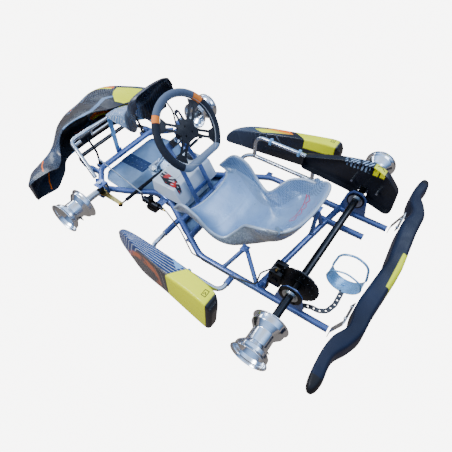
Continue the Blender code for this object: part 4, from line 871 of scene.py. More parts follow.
def milky_tank():
    """Translucent tank with a dark abstract label."""
    g = Graph("milky_tank")
    colour = g.mix(g.span(g.noise(6.0, 3.0), 0.3, 0.7), (0.52, 0.60, 0.70), (0.68, 0.75, 0.82))
    label = g.inside([(-0.049, 0.172), (-0.083, 0.172), (-0.112, 0.116), (-0.111, 0.020),
                      (-0.101, 0.020), (-0.062, 0.096)])
    label = g.both(label, g.span(g.z, 0.085, 0.095))
    marks = g.noise(1.0, 1.0, g.stretched(60, 26, 20))
    art = g.mix(g.span(marks, 0.52, 0.54), (0.012, 0.012, 0.016), (0.45, 0.03, 0.03))
    art = g.mix(g.span(g.noise(1.0, 0.0, g.stretched(90, 40, 10)), 0.62, 0.64), art, (0.55, 0.58, 0.62))
    colour = g.mix(label, colour, art)
    g.raise_by(g.noise(500.0, 2.0), 0.0001)
    g.put(g.bsdf.inputs["Subsurface Weight"], 0.25)
    g.put(g.bsdf.inputs["Subsurface Radius"], (0.02, 0.02, 0.025))
    g.put(g.bsdf.inputs["Subsurface Scale"], 0.3)
    return g.done(colour, g.span(g.noise(18.0, 3.0), 0.3, 0.7, 0.26, 0.42), 0.0, 0.15)


def rubber():
    """Matt black rubber."""
    g = Graph("rubber")
    colour = g.mix(g.span(g.noise(30.0, 4.0), 0.35, 0.7), (0.010, 0.010, 0.012), (0.030, 0.031, 0.035))
    g.raise_by(g.noise(900.0, 3.0), 0.0002)
    return g.done(grime(g, colour, amount=0.14), g.span(g.noise(25.0, 3.0), 0.3, 0.7, 0.50, 0.72))


LOOK = {
    "frame": painted_metal("frame_paint", (0.060, 0.105, 0.290), (0.115, 0.180, 0.420), 0.60, 0.28),
    "tray": bare_metal("tray_sheet", (0.21, 0.30, 0.43), 0.36, brushed=(260, 9, 100)),
    "heel": bare_metal("heel_sheet", (0.030, 0.055, 0.130), 0.40, brushed=(9, 240, 100)),
    "chrome": bare_metal("chrome_plate", (0.62, 0.68, 0.76), 0.16),
    "zinc": bare_metal("zinc_plate", (0.50, 0.54, 0.58), 0.30),
    "axle": bare_metal("axle_steel", (0.035, 0.037, 0.042), 0.26, rings=(700, 6, 6)),
    "disc": bare_metal("disc_iron", (0.050, 0.052, 0.058), 0.34, brushed=(90, 500, 500)),
    "rim": bare_metal("rim_alloy", (0.78, 0.83, 0.90), 0.15, rings=(1100, 5, 5)),
    "black_alloy": bare_metal("black_anodised", (0.022, 0.024, 0.030), 0.34, brushed=(60, 60, 300)),
    "gold": bare_metal("gold_anodised", (0.60, 0.44, 0.14), 0.28, brushed=(300, 14, 90)),
    "pale_blue": painted_metal("pale_blue_paint", (0.13, 0.32, 0.58), (0.26, 0.48, 0.74), 0.35, 0.26),
    "black_paint": painted_metal("black_paint", (0.012, 0.013, 0.018), (0.030, 0.034, 0.045), 0.3, 0.3),
    "black_plastic": plain_plastic("black_plastic", (0.009, 0.010, 0.013), (0.022, 0.024, 0.031), 0.32),
    "rubber": rubber(),
    "suede": grip_suede(),
    "seat_skin": seat_skin(),
    "laminate": laminate(),
    "nose": nose_film(),
    "panel": panel_film(),
    "pod_left": left_pod_film(),
    "pod_right": right_pod_film(),
    "guard": guard_film(),
    "bumper": bumper_film(),
    "tank": milky_tank(),
    "binding": bare_metal("binding_tape", (0.46, 0.55, 0.66), 0.36, brushed=(400, 400, 60), metal=0.3),
    "thread": plain_plastic("thread", (0.35, 0.40, 0.47), (0.55, 0.60, 0.66), 0.6, 0.0),
}

# ---- CAD nodes that stay in view ----------------------------------------------------------
KEPT = {
    "heel": ("heel_plate",),
    "zinc": ("axle_bearing_left", "axle_bearing_right", "rear_hub_left", "rear_hub_right",
             "kingpin_left", "kingpin_right", "wheel_spacer_left", "wheel_spacer_right",
             "column_bearing_lower", "brake_rod", "bumper_bracket_left", "bumper_bracket_right"),
    "chrome": ("steering_column",),
    "pale_blue": ("front_panel_strut",),
    "tray": ("floor_tray",),
    "axle": ("bearing_carrier_left", "bearing_carrier_right", "front_bearing_left",
             "front_bearing_right"),
    "black_alloy": ("brake_caliper", "brake_disc_hub", "brake_master_cylinder", "steering_boss",
                    "steering_wheel_plate", "stub_axle_left", "stub_axle_right", "tie_rod_left",
                    "tie_rod_right", "brake_pedal", "throttle_pedal"),
    "gold": ("steering_arm_left", "steering_arm_right"),
    "black_plastic": ("column_bearing_upper", "fuel_cap"),
    "rubber": ("brake_pad_left", "brake_pad_right"),
}


def smoothing_group():
    """Geometry nodes: weld the import's split corners and shade by edge angle."""
    tree = bpy.data.node_groups.new("smooth_by_angle", "GeometryNodeTree")
    tree.interface.new_socket("Geometry", in_out="INPUT", socket_type="NodeSocketGeometry")
    tree.interface.new_socket("Geometry", in_out="OUTPUT", socket_type="NodeSocketGeometry")
    start = tree.nodes.new("NodeGroupInput")
    end = tree.nodes.new("NodeGroupOutput")
    weld = tree.nodes.new("GeometryNodeMergeByDistance")
    weld.inputs["Distance"].default_value = 1e-5
    drop = tree.nodes.new("GeometryNodeRemoveAttribute")
    drop.inputs["Name"].default_value = "custom_normal"
    faces = tree.nodes.new("GeometryNodeSetShadeSmooth")
    edges = tree.nodes.new("GeometryNodeSetShadeSmooth")
    edges.domain = "EDGE"
    angle = tree.nodes.new("GeometryNodeInputMeshEdgeAngle")
    small = tree.nodes.new("ShaderNodeMath")
    small.operation = "LESS_THAN"
    small.inputs[1].default_value = math.radians(34.0)
    links = tree.links
    links.new(start.outputs[0], weld.inputs["Geometry"])
    links.new(weld.outputs[0], drop.inputs["Geometry"])
    links.new(drop.outputs[0], faces.inputs["Geometry"])
    links.new(faces.outputs[0], edges.inputs["Geometry"])
    links.new(angle.outputs["Unsigned Angle"], small.inputs[0])
    links.new(small.outputs[0], edges.inputs["Shade Smooth"])
    links.new(edges.outputs[0], end.inputs[0])
    return tree


def dress_kept_nodes():
    """Give the CAD nodes that stay in view their finish and smooth shading."""
    group = smoothing_group()
    for look, names in KEPT.items():
        for name in names:
            obj = frame["nodes"][name]
            for slot in obj.material_slots:
                slot.material = LOOK[look]
            smooth = obj.modifiers.new("smooth", "NODES")
            smooth.node_group = group


dress_kept_nodes()
# ---- frame --------------------------------------------------------------------------------
TUBE_R = 0.014
SMALL_TUBE_R = 0.010
STAY_R = 0.009
RAIL_TUBE_R = 0.0134
RAIL_BEND = 0.11
CROSS_BEND = 0.06
UPRIGHT_BEND = 0.08
HANGER_X = 0.283
YOKE_X = 0.2585
RAIL = [(0.283, -0.160, 0.0), (0.283, 0.405, 0.0), (0.122, 0.690, 0.0),
        (0.108, 0.765, 0.017), (0.205, 0.872, 0.0445), (0.258, 0.972, 0.052)]
HOOP = [(-0.257, 0.985, 0.052), (-0.170, 1.080, 0.050), (0.170, 1.080, 0.050),
        (0.257, 0.985, 0.052)]
CROSS_TUBES = [[(-0.228, 0.500, 0.0), (0.228, 0.500, 0.0)], [(-0.180, 0.585, 0.0), (0.180, 0.585, 0.0)],
               [(-0.280, 0.135, 0.0), (0.280, 0.055, 0.0)],
               [(0.272, 0.340, 0.0), (0.183, 0.225, 0.0), (0.183, -0.096, 0.0)]]
UPRIGHTS = [[(-0.053, 0.585, 0.0), (-0.050, 0.663, 0.147), (-0.041, 0.742, 0.235)],
            [(0.053, 0.585, 0.0), (0.050, 0.660, 0.140), (0.041, 0.742, 0.235)]]
STAYS = [[(-0.283, 0.130, 0.004), (-0.200, 0.240, 0.090)],
         [(-0.283, 0.293, 0.004), (-0.203, 0.243, 0.085)],
         [(0.064, 0.086, 0.004), (0.119, 0.098, 0.108)],
         [(0.143, 0.075, 0.004), (0.121, 0.100, 0.106)]]
STAY_PADS = ((-0.208, 0.240, 0.092), (0.120, 0.100, 0.112))
SOCKETS = [((-0.2765, 0.600, 0.0), (-0.181, 0.600, 0.0)), ((-0.275, 0.240, 0.0), (-0.335, 0.240, 0.0)),
           ((0.2765, 0.600, 0.0), (0.181, 0.600, 0.0)), ((0.275, 0.172, 0.0), (0.335, 0.172, 0.0)),
           ((-0.190, 1.060, 0.050), (-0.190, 1.128, 0.046)),
           ((0.190, 1.060, 0.050), (0.190, 1.128, 0.046))]
SOCKET_R = 0.0128
SOCKET_BORE = 0.0104
PANEL_ROD = [(0.042, 0.753, 0.240), (0.047, 0.772, 0.350), (0.072, 0.836, 0.368)]
HANGER = [(-0.062, 0.004), (-0.044, 0.100), (-0.020, 0.126), (0.020, 0.126), (0.044, 0.100),
          (0.062, 0.004)]
# centre, size, eased edge
BRACKETS = [((-0.030, 1.0930, 0.055), (0.030, 0.006, 0.034), 0.0008),
            ((-0.253, 0.1150, 0.010), (0.022, 0.014, 0.050), 0.0008),
            ((0.298, 0.425, 0.0), (0.030, 0.026, 0.004), 0.0006),
            ((-0.170, 0.722, 0.0155), (0.100, 0.040, 0.003), 0.0006)]


def block(centre, size, ease=0.0):
    """Box at a shape-table place, its edges eased."""
    mesh = box(at(*centre), size)
    return eased(mesh, ease) if ease else mesh


def weld_bead(place, axis, radius):
    """Rippled bead round a tube's end."""
    section = [(radius + 0.0016 * math.cos(a), 0.0026 * math.sin(a) + 0.0005)
               for a in [math.tau * k / 8 for k in range(8)]]
    return turned(section, place, axis, 24)


def hollow_end(place, axis, radius):
    """Open mouth of a tube: a lip and a recessed floor."""
    section = [(radius, 0.0004), (radius, -0.004), (radius - 0.0018, -0.004), (radius - 0.0018, 0.0004)]
    return turned(section, place, axis, 32)


def rail_side(side):
    """One main rail with its axle hanger, kingpin yoke, lower bumper lugs and tray tabs."""
    rail = fillet(world(mirrored(RAIL, side)), RAIL_BEND)
    hanger = plate(rounded(HANGER, 0.012), 0.004, [circle(0.0, AXLE_Z, 0.0368, 48)])
    solids = [tube(rail, RAIL_TUBE_R), hollow_end(rail[0], (0, -1, 0), TUBE_R),
              laid(hanger, at(side * HANGER_X, 0.0, 0.0), (0, 1, 0), (0, 0, 1)),
              block((side * YOKE_X, WHEELBASE, STUB_Z), (0.004, 0.040, 0.062), 0.0006)]
    for z in (0.049, 0.107):
        solids.append(block((side * 0.281, WHEELBASE, z), (0.046, 0.040, 0.005), 0.0008))
        solids.append(weld_bead(at(side * YOKE_X, WHEELBASE, z), (side, 0, 0), 0.004))
    for inner in (-0.0135, 0.0135):
        solids.append(block((side * 0.150 + inner, 1.097, 0.052), (0.003, 0.030, 0.020), 0.0006))
    solids.append(box(at(side * 0.2285, 1.036, 0.0440), (0.022, 0.030, 0.003),
                      Matrix.Rotation(side * math.radians(-47.0), 3, "Z")))
    solids.append(block((side * 0.2315, 0.500, -0.0135), (0.030, 0.026, 0.003)))
    return solids


def cross_tubes():
    """Front hoop, cross tubes and engine rail, beaded where they meet the main rails."""
    solids = [tube(fillet(world(HOOP), CROSS_BEND), TUBE_R)]
    for path in CROSS_TUBES:
        path = fillet(world(path), CROSS_BEND)
        solids.append(tube(path, TUBE_R - GAP))
        for end, beyond in ((path[0], path[1]), (path[-1], path[-2])):
            way = (beyond - end).normalized()
            if abs(end.x) > 0.17 and end.y > -0.69:
                solids.append(weld_bead(end + way * 0.013, way, TUBE_R))
    solids.append(hollow_end(at(*CROSS_TUBES[-1][-1]), (0, -1, 0), TUBE_R))
    return solids


def column_support():
    """Two uprights, the drilled plate that carries the upper column bearing, and the foot plate."""
    solids = []
    for path in UPRIGHTS:
        path = fillet(world(path), UPRIGHT_BEND)
        solids.append(tube(path, SMALL_TUBE_R))
        solids.append(weld_bead(path[0] + Vector((0, 0.0002, 0.0100)), (0, 0.35, 1), SMALL_TUBE_R))
    lean = Matrix.Rotation(math.radians(34.85), 3, "X")
    cross = box(at(0, 0.7422, 0.2344), (0.094, 0.032, 0.004), lean)
    foot = at(0.0, 0.872, 0.048)
    axis = (at(0.0, 0.700, 0.295) - foot).normalized()
    column_hole = cylinder(foot + axis * 0.20, foot + axis * 0.25, 0.0110)
    solids.append(eased(cut(cross, column_hole), 0.0006))
    solids.append(block((0, 0.6125, 0.052), (0.106, 0.003, 0.026)))
    return solids


def seat_stays():
    solids = []
    for path in STAYS:
        start, end = world(path)
        solids.append(tube([start, end], STAY_R))
        solids.append(weld_bead(start + (end - start).normalized() * 0.012, end - start, STAY_R))
    return solids + [block(place, (0.032, 0.032, 0.004), 0.0008) for place in STAY_PADS]


def bar_sockets():
    solids = []
    for start, end in SOCKETS:
        start = at(*start)
        run = at(*end) - start
        ring = [(SOCKET_R, run.length), (SOCKET_R, 0.0), (SOCKET_BORE, 0.0), (SOCKET_BORE, run.length)]
        solids.append(turned(ring, start, run.normalized(), 32))
    return solids


def build_frame():
    solids = rail_side(-1) + rail_side(1) + cross_tubes() + column_support() + seat_stays()
    solids += bar_sockets() + [block(*bracket) for bracket in BRACKETS]
    piece("frame_weldment", merged(*solids), "chassis", LOOK["frame"], ["frame"])
    rod = tube(fillet(world(PANEL_ROD), 0.03), 0.0035, 12)
    piece("panel_rod", rod, "chassis", LOOK["black_paint"])


# ---- bars ---------------------------------------------------------------------------------
BAR_X = 0.376
BAR_BEND = 0.045
BAR_FRONT_Y = 0.600
# side, name, rear leg y, rear hoop y, hoop height (no hoop on the left)
SIDE_BARS = ((-1, "left", 0.240, 0.308, 0.0), (1, "right", 0.172, 0.240, 0.120))
UPPER_BUMPER = [(-0.2325, 1.050, 0.056), (-0.204, 1.165, 0.128), (-0.185, 1.232, 0.150),
                (0.185, 1.232, 0.150), (0.204, 1.165, 0.128), (0.2325, 1.050, 0.056)]
SECOND_BUMPER = [(-0.2015, 1.172, 0.118), (-0.178, 1.234, 0.116), (0.178, 1.234, 0.116),
                 (0.2015, 1.172, 0.118)]
LOWER_BUMPER = [(-0.190, 1.084, 0.0486), (-0.190, 1.165, 0.0438), (-0.165, 1.240, 0.0400),
                (0.165, 1.240, 0.0400), (0.190, 1.165, 0.0438), (0.190, 1.084, 0.0486)]


def build_side_bar(side, name, rear_y, back_y, top):
    x = side * BAR_X
    lower = [(side * 0.203, BAR_FRONT_Y, 0.0), (x, BAR_FRONT_Y, 0.0), (x, rear_y, 0.0),
             (side * 0.305, rear_y, 0.0)]
    tubes = [tube(fillet(world(lower), BAR_BEND), SMALL_TUBE_R)]
    if top:
        upper = [(x, 0.560, 0.0), (x, 0.556, top), (x, back_y + 0.004, top), (x, back_y, 0.0)]
        tubes.append(tube(fillet(world(upper), BAR_BEND), SMALL_TUBE_R - 0.0005))
        for y in (0.560, back_y):
            tubes.append(weld_bead(at(x, y, 0.0095), (0, 0, 1), SMALL_TUBE_R))
    piece("side_bar_tubes_" + name, merged(*tubes), "chassis", LOOK["chrome"],
          ["side_bar_" + name])
    clamps = []
    for y in (0.475, back_y + 0.085):
        clamps.append(block((x, y, top), (0.026, 0.014, 0.026), 0.003))
        clamps.append(cylinder(at(x, y, top + 0.0125), at(x, y, top + 0.0165), 0.0045, 6))
        clamps.append(cylinder(at(x + side * 0.0125, y, top), at(x + side * 0.0165, y, top), 0.0042))
    piece("side_bar_clamps_" + name, merged(*clamps), "chassis", LOOK["pale_blue"])


def build_bars():
    for bar in SIDE_BARS:
        build_side_bar(*bar)
    solids = [tube(fillet(world(UPPER_BUMPER), 0.035), SMALL_TUBE_R),
              tube(fillet(world(SECOND_BUMPER), 0.035), 0.008)]
    for x in (-0.060, 0.060):
        solids.append(cylinder(at(x, 1.233, 0.112), at(x, 1.232, 0.150), 0.006))
        solids.append(weld_bead(at(x, 1.2325, 0.1245), (0, 0, 1), 0.006))
    piece("upper_bumper_tubes", merged(*solids), "chassis", LOOK["chrome"], ["front_bumper_upper"])
    piece("lower_bumper_tube", tube(fillet(world(LOWER_BUMPER), 0.030), SMALL_TUBE_R), "chassis",
          LOOK["black_paint"], ["front_bumper_lower"])


# ---- seat ---------------------------------------------------------------------------------
# place along the seat, rim y, rim z, half width, spine y, spine z
SEAT = [(0.00, 0.600, 0.092, 0.165, 0.520, 0.086), (0.12, 0.540, 0.158, 0.182, 0.474, 0.055),
        (0.25, 0.472, 0.146, 0.187, 0.420, 0.028), (0.40, 0.405, 0.086, 0.180, 0.360, 0.003),
        (0.50, 0.352, 0.066, 0.163, 0.300, 0.003), (0.60, 0.312, 0.104, 0.134, 0.235, 0.022),
        (0.70, 0.283, 0.146, 0.124, 0.170, 0.070), (0.80, 0.245, 0.192, 0.148, 0.115, 0.135),
        (0.90, 0.190, 0.220, 0.157, 0.078, 0.215), (1.00, 0.135, 0.234, 0.150, 0.055, 0.290)]
SEAT_ROWS = 97
SEAT_COLUMNS = 73
SHELL_THICK = 0.004
PAD_THICK = 0.0085
PUFF_PRESSURE = 4.0
PUFF_LIMIT = 0.0022
PUFF_FRAMES = 20
CROSS_SEAMS = (0.27, 0.52, 0.75)
SIDE_SEAM = 0.62
RIM_BAND = 0.97
SEAM_DEPTH = 0.0012
BINDING_R = 0.0062


def seat_point(s, t):
    """Place on the seat surface, s from the front lip to the back's top, t across from -1 to 1."""
    rim_y, rim_z, half, spine_y, spine_z = blended(SEAT, s)
    angle = math.pi * t / 2
    across = math.copysign(abs(math.sin(angle)) ** 0.80, angle)
    climb = 1.0 - abs(math.cos(angle)) ** 0.62
    return at(SEAT_X + half * across, spine_y + (rim_y - spine_y) * climb,
              spine_z + (rim_z - spine_z) * climb)


def seat_rows():
    """Grid of seat points, closer together towards the rim."""
    rows = []
    for i in range(SEAT_ROWS):
        row = []
        for j in range(SEAT_COLUMNS):
            t = 2.0 * j / (SEAT_COLUMNS - 1) - 1.0
            t = math.copysign(1.0 - (1.0 - abs(t)) ** 1.15, t)
            row.append(seat_point(i / (SEAT_ROWS - 1), t))
        rows.append(row)
    return rows


def inflated(mesh, pressure, cap):
    """Cloth puffed up by air pressure, no point further than cap from where it started."""
    rest = [v.co.copy() for v in mesh.vertices]
    obj = temporary(mesh)
    cloth = obj.modifiers.new("puff", "CLOTH")
    cloth.settings.quality = 4
    cloth.settings.mass = 0.3
    cloth.settings.tension_stiffness = 30
    cloth.settings.compression_stiffness = 30
    cloth.settings.bending_stiffness = 2.0
    cloth.settings.use_pressure = True
    cloth.settings.uniform_pressure_force = pressure
    cloth.settings.effector_weights.gravity = 0.0
    cloth.collision_settings.use_collision = False
    for frame_number in range(1, PUFF_FRAMES + 1):
        bpy.context.scene.frame_set(frame_number)
    graph = bpy.context.evaluated_depsgraph_get()
    puffed = bpy.data.meshes.new_from_object(obj.evaluated_get(graph))
    bpy.data.objects.remove(obj, do_unlink=True)
    bpy.context.scene.frame_set(1)
    for vert, start in zip(puffed.vertices, rest):
        move = vert.co - start
        if move.length > cap:
            vert.co = start + move.normalized() * cap
    return puffed


def seat_pad_mesh():
    base = sheet(seat_rows(), PAD_THICK, offset=-1.0, shift=-GAP)
    return inflated(base, PUFF_PRESSURE, PUFF_LIMIT)


def nearest_of(points):
    """Search tree over points."""
    tree = kdtree.KDTree(len(points))
    for i, point in enumerate(points):
        tree.insert(point, i)
    tree.balance()
    return tree


def lengthwise(places, steps=160):
    """Seat points along the seat at each of the places across it."""
    return [seat_point(k / steps, t) for t in places for k in range(steps + 1)]


def mark_seat(mesh):
    """Groove the seams into the pad and note where the seams and the rim band run."""
    seams = lengthwise((-SIDE_SEAM, SIDE_SEAM))
    for s in CROSS_SEAMS:
        seams += [seat_point(s, -SIDE_SEAM + 2 * SIDE_SEAM * k / 60) for k in range(61)]
    seam_tree = nearest_of(seams)
    rim_tree = nearest_of(lengthwise((-RIM_BAND, RIM_BAND)))
    seam_mark = mesh.attributes.new("seam", "FLOAT", "POINT")
    band_mark = mesh.attributes.new("rim_band", "FLOAT", "POINT")
    depths = []
    for i, vert in enumerate(mesh.vertices):
        seam_gap = seam_tree.find(vert.co)[2]
        rim_gap = rim_tree.find(vert.co)[2]
        depths.append(max(0.0, 1.0 - max(0.0, seam_gap - PAD_THICK) / 0.0045))
        seam_mark.data[i].value = depths[i]
        band_mark.data[i].value = max(0.0, min(1.0, (0.060 - rim_gap) / 0.012))
    normals = [v.normal.copy() for v in mesh.vertices]
    for vert, normal, depth in zip(mesh.vertices, normals, depths):
        vert.co -= normal * SEAM_DEPTH * depth
    return mesh


def seat_rim():
    """Closed loop round the seat's rim."""
    loop = [seat_point(k / 120, -1.0) for k in range(121)]
    loop += [seat_point(1.0, -1.0 + 2.0 * k / 60) for k in range(1, 60)]
    loop += [seat_point(1.0 - k / 120, 1.0) for k in range(121)]
    loop += [seat_point(0.0, 1.0 - 2.0 * k / 60) for k in range(1, 60)]
    return [p - Vector((0, 0, 0.0035)) for p in loop]


def build_seat():
    shell = sheet(seat_rows(), SHELL_THICK, offset=1.0)
    piece("seat_bucket", shell, "chassis", LOOK["laminate"], ["seat_shell"], 50)
    pad = mark_seat(seat_pad_mesh())
    obj = piece("seat_lining", pad, "chassis", LOOK["seat_skin"], ["seat_pad"], 70)
    finer = obj.modifiers.new("finer", "SUBSURF")
    finer.levels = 1
    finer.render_levels = 1
    loop = seat_rim()
    piece("seat_binding", tube(loop, BINDING_R, 14, closed=True), "chassis", LOOK["binding"])
    stitches = []
    up = Vector((0, 0, 0.0058))
    for i in range(0, len(loop), 2):
        a = loop[i]
        way = (loop[(i + 1) % len(loop)] - a).normalized()
        stitches.append(tube([a + up - way * 0.0004, a + up + way * 0.0030], 0.0006, 6))
    piece("seat_binding_stitches", merged(*stitches), "chassis", LOOK["thread"])


# ---- axle, rims, disc ---------------------------------------------------------------------
AXLE_HALF = 0.485
AXLE_BORE = 0.010
REAR_RIM_X = 0.4895
REAR_RIM_HALF = 0.071
REAR_BORE = 0.0155
REAR_WEB = (-0.0110, -0.0050)
FRONT_RIM_X = 0.443
FRONT_RIM_HALF = 0.056
FRONT_BORE = 0.0175
FRONT_WEB = (-0.004, 0.004)
RIM_R = 0.0685
WAIST_R = 0.0415
WAIST_INNER_R = 0.0385
STUD_CIRCLE_R = 0.0285
DISC_X = -0.2315
DISC_R = 0.0825
DISC_HALF = 0.003
DISC_BORE = 0.0305
# radii of the three rings of holes
DISC_HOLE_ROWS = (0.050, 0.062, 0.073)
SCREW_CIRCLE_R = 0.0345


def on_axle(x):
    return at(x, 0, AXLE_Z)


def around(radius, angle, x=0.0):
    """Offset at a radius and angle about an axis that runs along X."""
    return Vector((x, radius * math.cos(angle), radius * math.sin(angle)))


def across(spot, half, radius, sides):
    """Drill or bar along X through a spot."""
    return cylinder(spot - Vector((half, 0, 0)), spot + Vector((half, 0, 0)), radius, sides)


def rim_outline(half, web, bore):
    """Half section of a rim: bead, well, waist and web, as (radius, place along the axle)."""
    outer = [(RIM_R, half), (RIM_R, half - 0.003), (0.0618, half - 0.006),
             (0.0605, 0.64 * half), (WAIST_R, 0.34 * half), (WAIST_R, -0.34 * half),
             (0.0605, -0.64 * half), (0.0618, 0.006 - half), (RIM_R, 0.003 - half),
             (RIM_R, -half), (0.0655, -half)]
    inner = [(0.0575, -0.66 * half), (WAIST_INNER_R, -0.35 * half)]
    disc = [(WAIST_INNER_R, web[0]), (bore, web[0]), (bore, web[1]), (WAIST_INNER_R, web[1])]
    back = [(WAIST_INNER_R, 0.35 * half), (0.0575, 0.66 * half), (0.0655, half)]
    return outer + inner + disc + back


def front_outline():
    """Front rim section with the bearing hub in its middle."""
    profile = rim_outline(FRONT_RIM_HALF, FRONT_WEB, FRONT_BORE)
    i = profile.index((FRONT_BORE, FRONT_WEB[0]))
    hub = [(0.0225, -0.004), (0.0215, -0.0195), (FRONT_BORE, -0.0195),
           (FRONT_BORE, 0.0195), (0.0215, 0.0195), (0.0225, 0.004)]
    return profile[:i] + hub + profile[i + 2:]


def lightened(mesh, origin, side):
    """Rear rim with three lightening holes through its web."""
    tools = []
    for k in range(3):
        spot = origin + around(STUD_CIRCLE_R, math.radians(150 + 120 * k))
        low = Vector((side * (REAR_WEB[0] - 0.01), 0, 0))
        high = Vector((side * (REAR_WEB[1] + 0.01), 0, 0))
        tools.append(cylinder(spot + low, spot + high, 0.0050, 20))
    return cut(mesh, *tools)


def valve(origin, side, x, angle):
    """Rubber-sleeved valve standing on the rim's waist."""
    out = around(1.0, angle)
    foot = origin + out * 0.0405 + Vector((side * x, 0, 0))
    return merged(cylinder(foot, foot + out * 0.010, 0.0050, 20, 0.0040),
                  cylinder(foot + out * 0.010, foot + out * 0.018, 0.0026, 16))


def build_rear_rim(side, name):
    origin = on_axle(side * REAR_RIM_X)
    profile = smooth_profile(rim_outline(REAR_RIM_HALF, REAR_WEB, REAR_BORE), 0.004)
    mesh = lightened(turned(profile, origin, (side, 0, 0)), origin, side)
    piece("rear_rim_turned_" + name, mesh, "axle_assembly", LOOK["rim"], ["rear_rim_" + name],
          40)
    nuts = []
    for k in range(3):
        spot = origin + around(STUD_CIRCLE_R, math.radians(90 + 120 * k))
        nuts.append(eased(cylinder(spot - Vector((side * 0.0052, 0, 0)),
                                   spot + Vector((side * 0.0005, 0, 0)), 0.0055, 6), 0.0005))
    piece("rear_rim_nuts_" + name, merged(*nuts), "axle_assembly", LOOK["zinc"])
    turn = math.radians(-140 if side < 0 else 200)
    piece("rear_valve_" + name, valve(origin, side, 0.010, turn), "axle_assembly", LOOK["rubber"])


def build_front_rim(side, name):
    body = "front_wheel_" + name
    origin = at(side * FRONT_RIM_X, WHEELBASE, STUB_Z)
    mesh = turned(smooth_profile(front_outline(), 0.003), origin, (side, 0, 0))
    piece("front_rim_turned_" + name, mesh, body, LOOK["rim"], ["front_rim_" + name], 40)
    piece("front_valve_" + name, valve(origin, side, 0.006, math.radians(200)), body, LOOK["rubber"])


def build_rims():
    for side, name in ((-1, "left"), (1, "right")):
        build_rear_rim(side, name)
        build_front_rim(side, name)


def drilled_disc():
    """Brake disc with rings of small holes and a scalloped edge."""
    profile = [(DISC_R, DISC_HALF), (DISC_R, -DISC_HALF), (DISC_BORE, -DISC_HALF),
               (DISC_BORE, DISC_HALF)]
    disc = turned(profile, on_axle(DISC_X), (1, 0, 0))
    holes = []
    for k in range(24):
        spot = around(DISC_HOLE_ROWS[k % 3], math.tau * k / 24)
        holes.append(across(on_axle(DISC_X) + spot, 0.01, 0.0030, 16))
    for k in range(12):
        spot = around(DISC_R + 0.001, math.tau * (k + 0.5) / 12)
        holes.append(across(on_axle(DISC_X) + spot, 0.01, 0.0042, 20))
    return cut(disc, merged(*holes))


def build_axle():
    ring = smooth_profile([(AXLE_R, AXLE_HALF), (AXLE_R, -AXLE_HALF), (AXLE_BORE, -AXLE_HALF),
                           (AXLE_BORE, AXLE_HALF)], 0.0008)
    piece("axle_tube", turned(ring, on_axle(0), (1, 0, 0), 48), "axle_assembly", LOOK["axle"],
          ["rear_axle"])
    piece("drilled_disc", drilled_disc(), "axle_assembly", LOOK["disc"], ["brake_disc"])
    hub = smooth_profile([(0.0300, 0.0045), (0.0300, -0.0034), (0.0400, -0.0034), (0.0400, -0.0085),
                          (0.0225, -0.0085), (0.0215, -0.0300), (AXLE_R + GAP, -0.0300),
                          (AXLE_R + GAP, 0.0045)], 0.0008)
    screws = []
    for k in range(6):
        spot = on_axle(DISC_X) + around(SCREW_CIRCLE_R, math.tau * k / 6, 0.0083)
        screws.append(eased(cylinder(spot, spot + Vector((0.0032, 0, 0)), 0.0035, 12), 0.0004))
    piece("disc_hub_turned", turned(hub, on_axle(DISC_X), (-1, 0, 0), 64), "axle_assembly",
          LOOK["black_alloy"], ["brake_disc_hub"])
    piece("disc_hub_screws", merged(*screws), "axle_assembly", LOOK["zinc"])


# ---- steering wheel grip ------------------------------------------------------------------
FLAT_DEPTH = 0.118
CORNER_R = 0.035
GRIP_R = 0.0155


def arc(x, y, radius, start, turn, count):
    """Points of an arc, its last one left out."""
    return [(x + radius * math.cos(start + turn * i / count),
             y + radius * math.sin(start + turn * i / count)) for i in range(count)]


def build_grip():
    """Round grip with a flat bottom between two tight corners."""
    cy = CORNER_R - FLAT_DEPTH
    cx = math.sqrt((WHEEL_RADIUS - CORNER_R) ** 2 - cy ** 2)
    low = math.atan2(cy, cx)
    corner_turn = math.pi / 2 + low
    points = arc(0.0, 0.0, WHEEL_RADIUS, low, math.pi - 2 * low, 96)
    points += arc(-cx, cy, CORNER_R, math.pi - low, corner_turn, 15)
    points.append((-cx, cy - CORNER_R))
    points += arc(cx, cy, CORNER_R, -math.pi / 2, corner_turn, 15)
    ring = tube([Vector((x, y, 0)) for x, y in points], GRIP_R, 28, closed=True)
    up = (0, math.sin(WHEEL_TILT), math.cos(WHEEL_TILT))
    laid(ring, at(*WHEEL_CENTRE), (1, 0, 0), up)
    piece("grip_ring", ring, "steering", LOOK["suede"], ["steering_wheel_grip"], 60)


# ---- hose, tank, cradle -------------------------------------------------------------------
HOSE_END_X = -0.2535
HOSE = [(-0.203, 0.6635, 0.048), (-0.206, 0.640, 0.048), (-0.240, 0.540, 0.026),
        (-0.303, 0.430, 0.020), (-0.304, 0.236, 0.020), (-0.300, 0.130, 0.050),
        (-0.288, 0.125, 0.120), (HOSE_END_X, 0.080, 0.155), (HOSE_END_X, 0.080, 0.1325)]
HOSE_R = 0.0032
FITTING_LENGTH = 0.012
TANK_PROFILE = [(0.618, 0.024), (0.618, 0.030), (0.660, 0.098), (0.786, 0.098), (0.786, 0.040),
                (0.730, 0.024)]
CAP_PLACE = (0.095, 0.735)
CAP_R = 0.0215
CAP_RIBS = 24


def build_hose():
    line = fillet(world(HOSE), 0.03)
    fittings = []
    for end, beyond in ((line[0], line[1]), (line[-1], line[-2])):
        run = (beyond - end).normalized() * FITTING_LENGTH
        fittings.append(cylinder(end, end + run, 0.0050, 6))
    piece("brake_line_hose", tube(line, HOSE_R, 14), "chassis", LOOK["rubber"], ["brake_hose"])
    piece("brake_line_fittings", merged(*fittings), "chassis", LOOK["gold"])


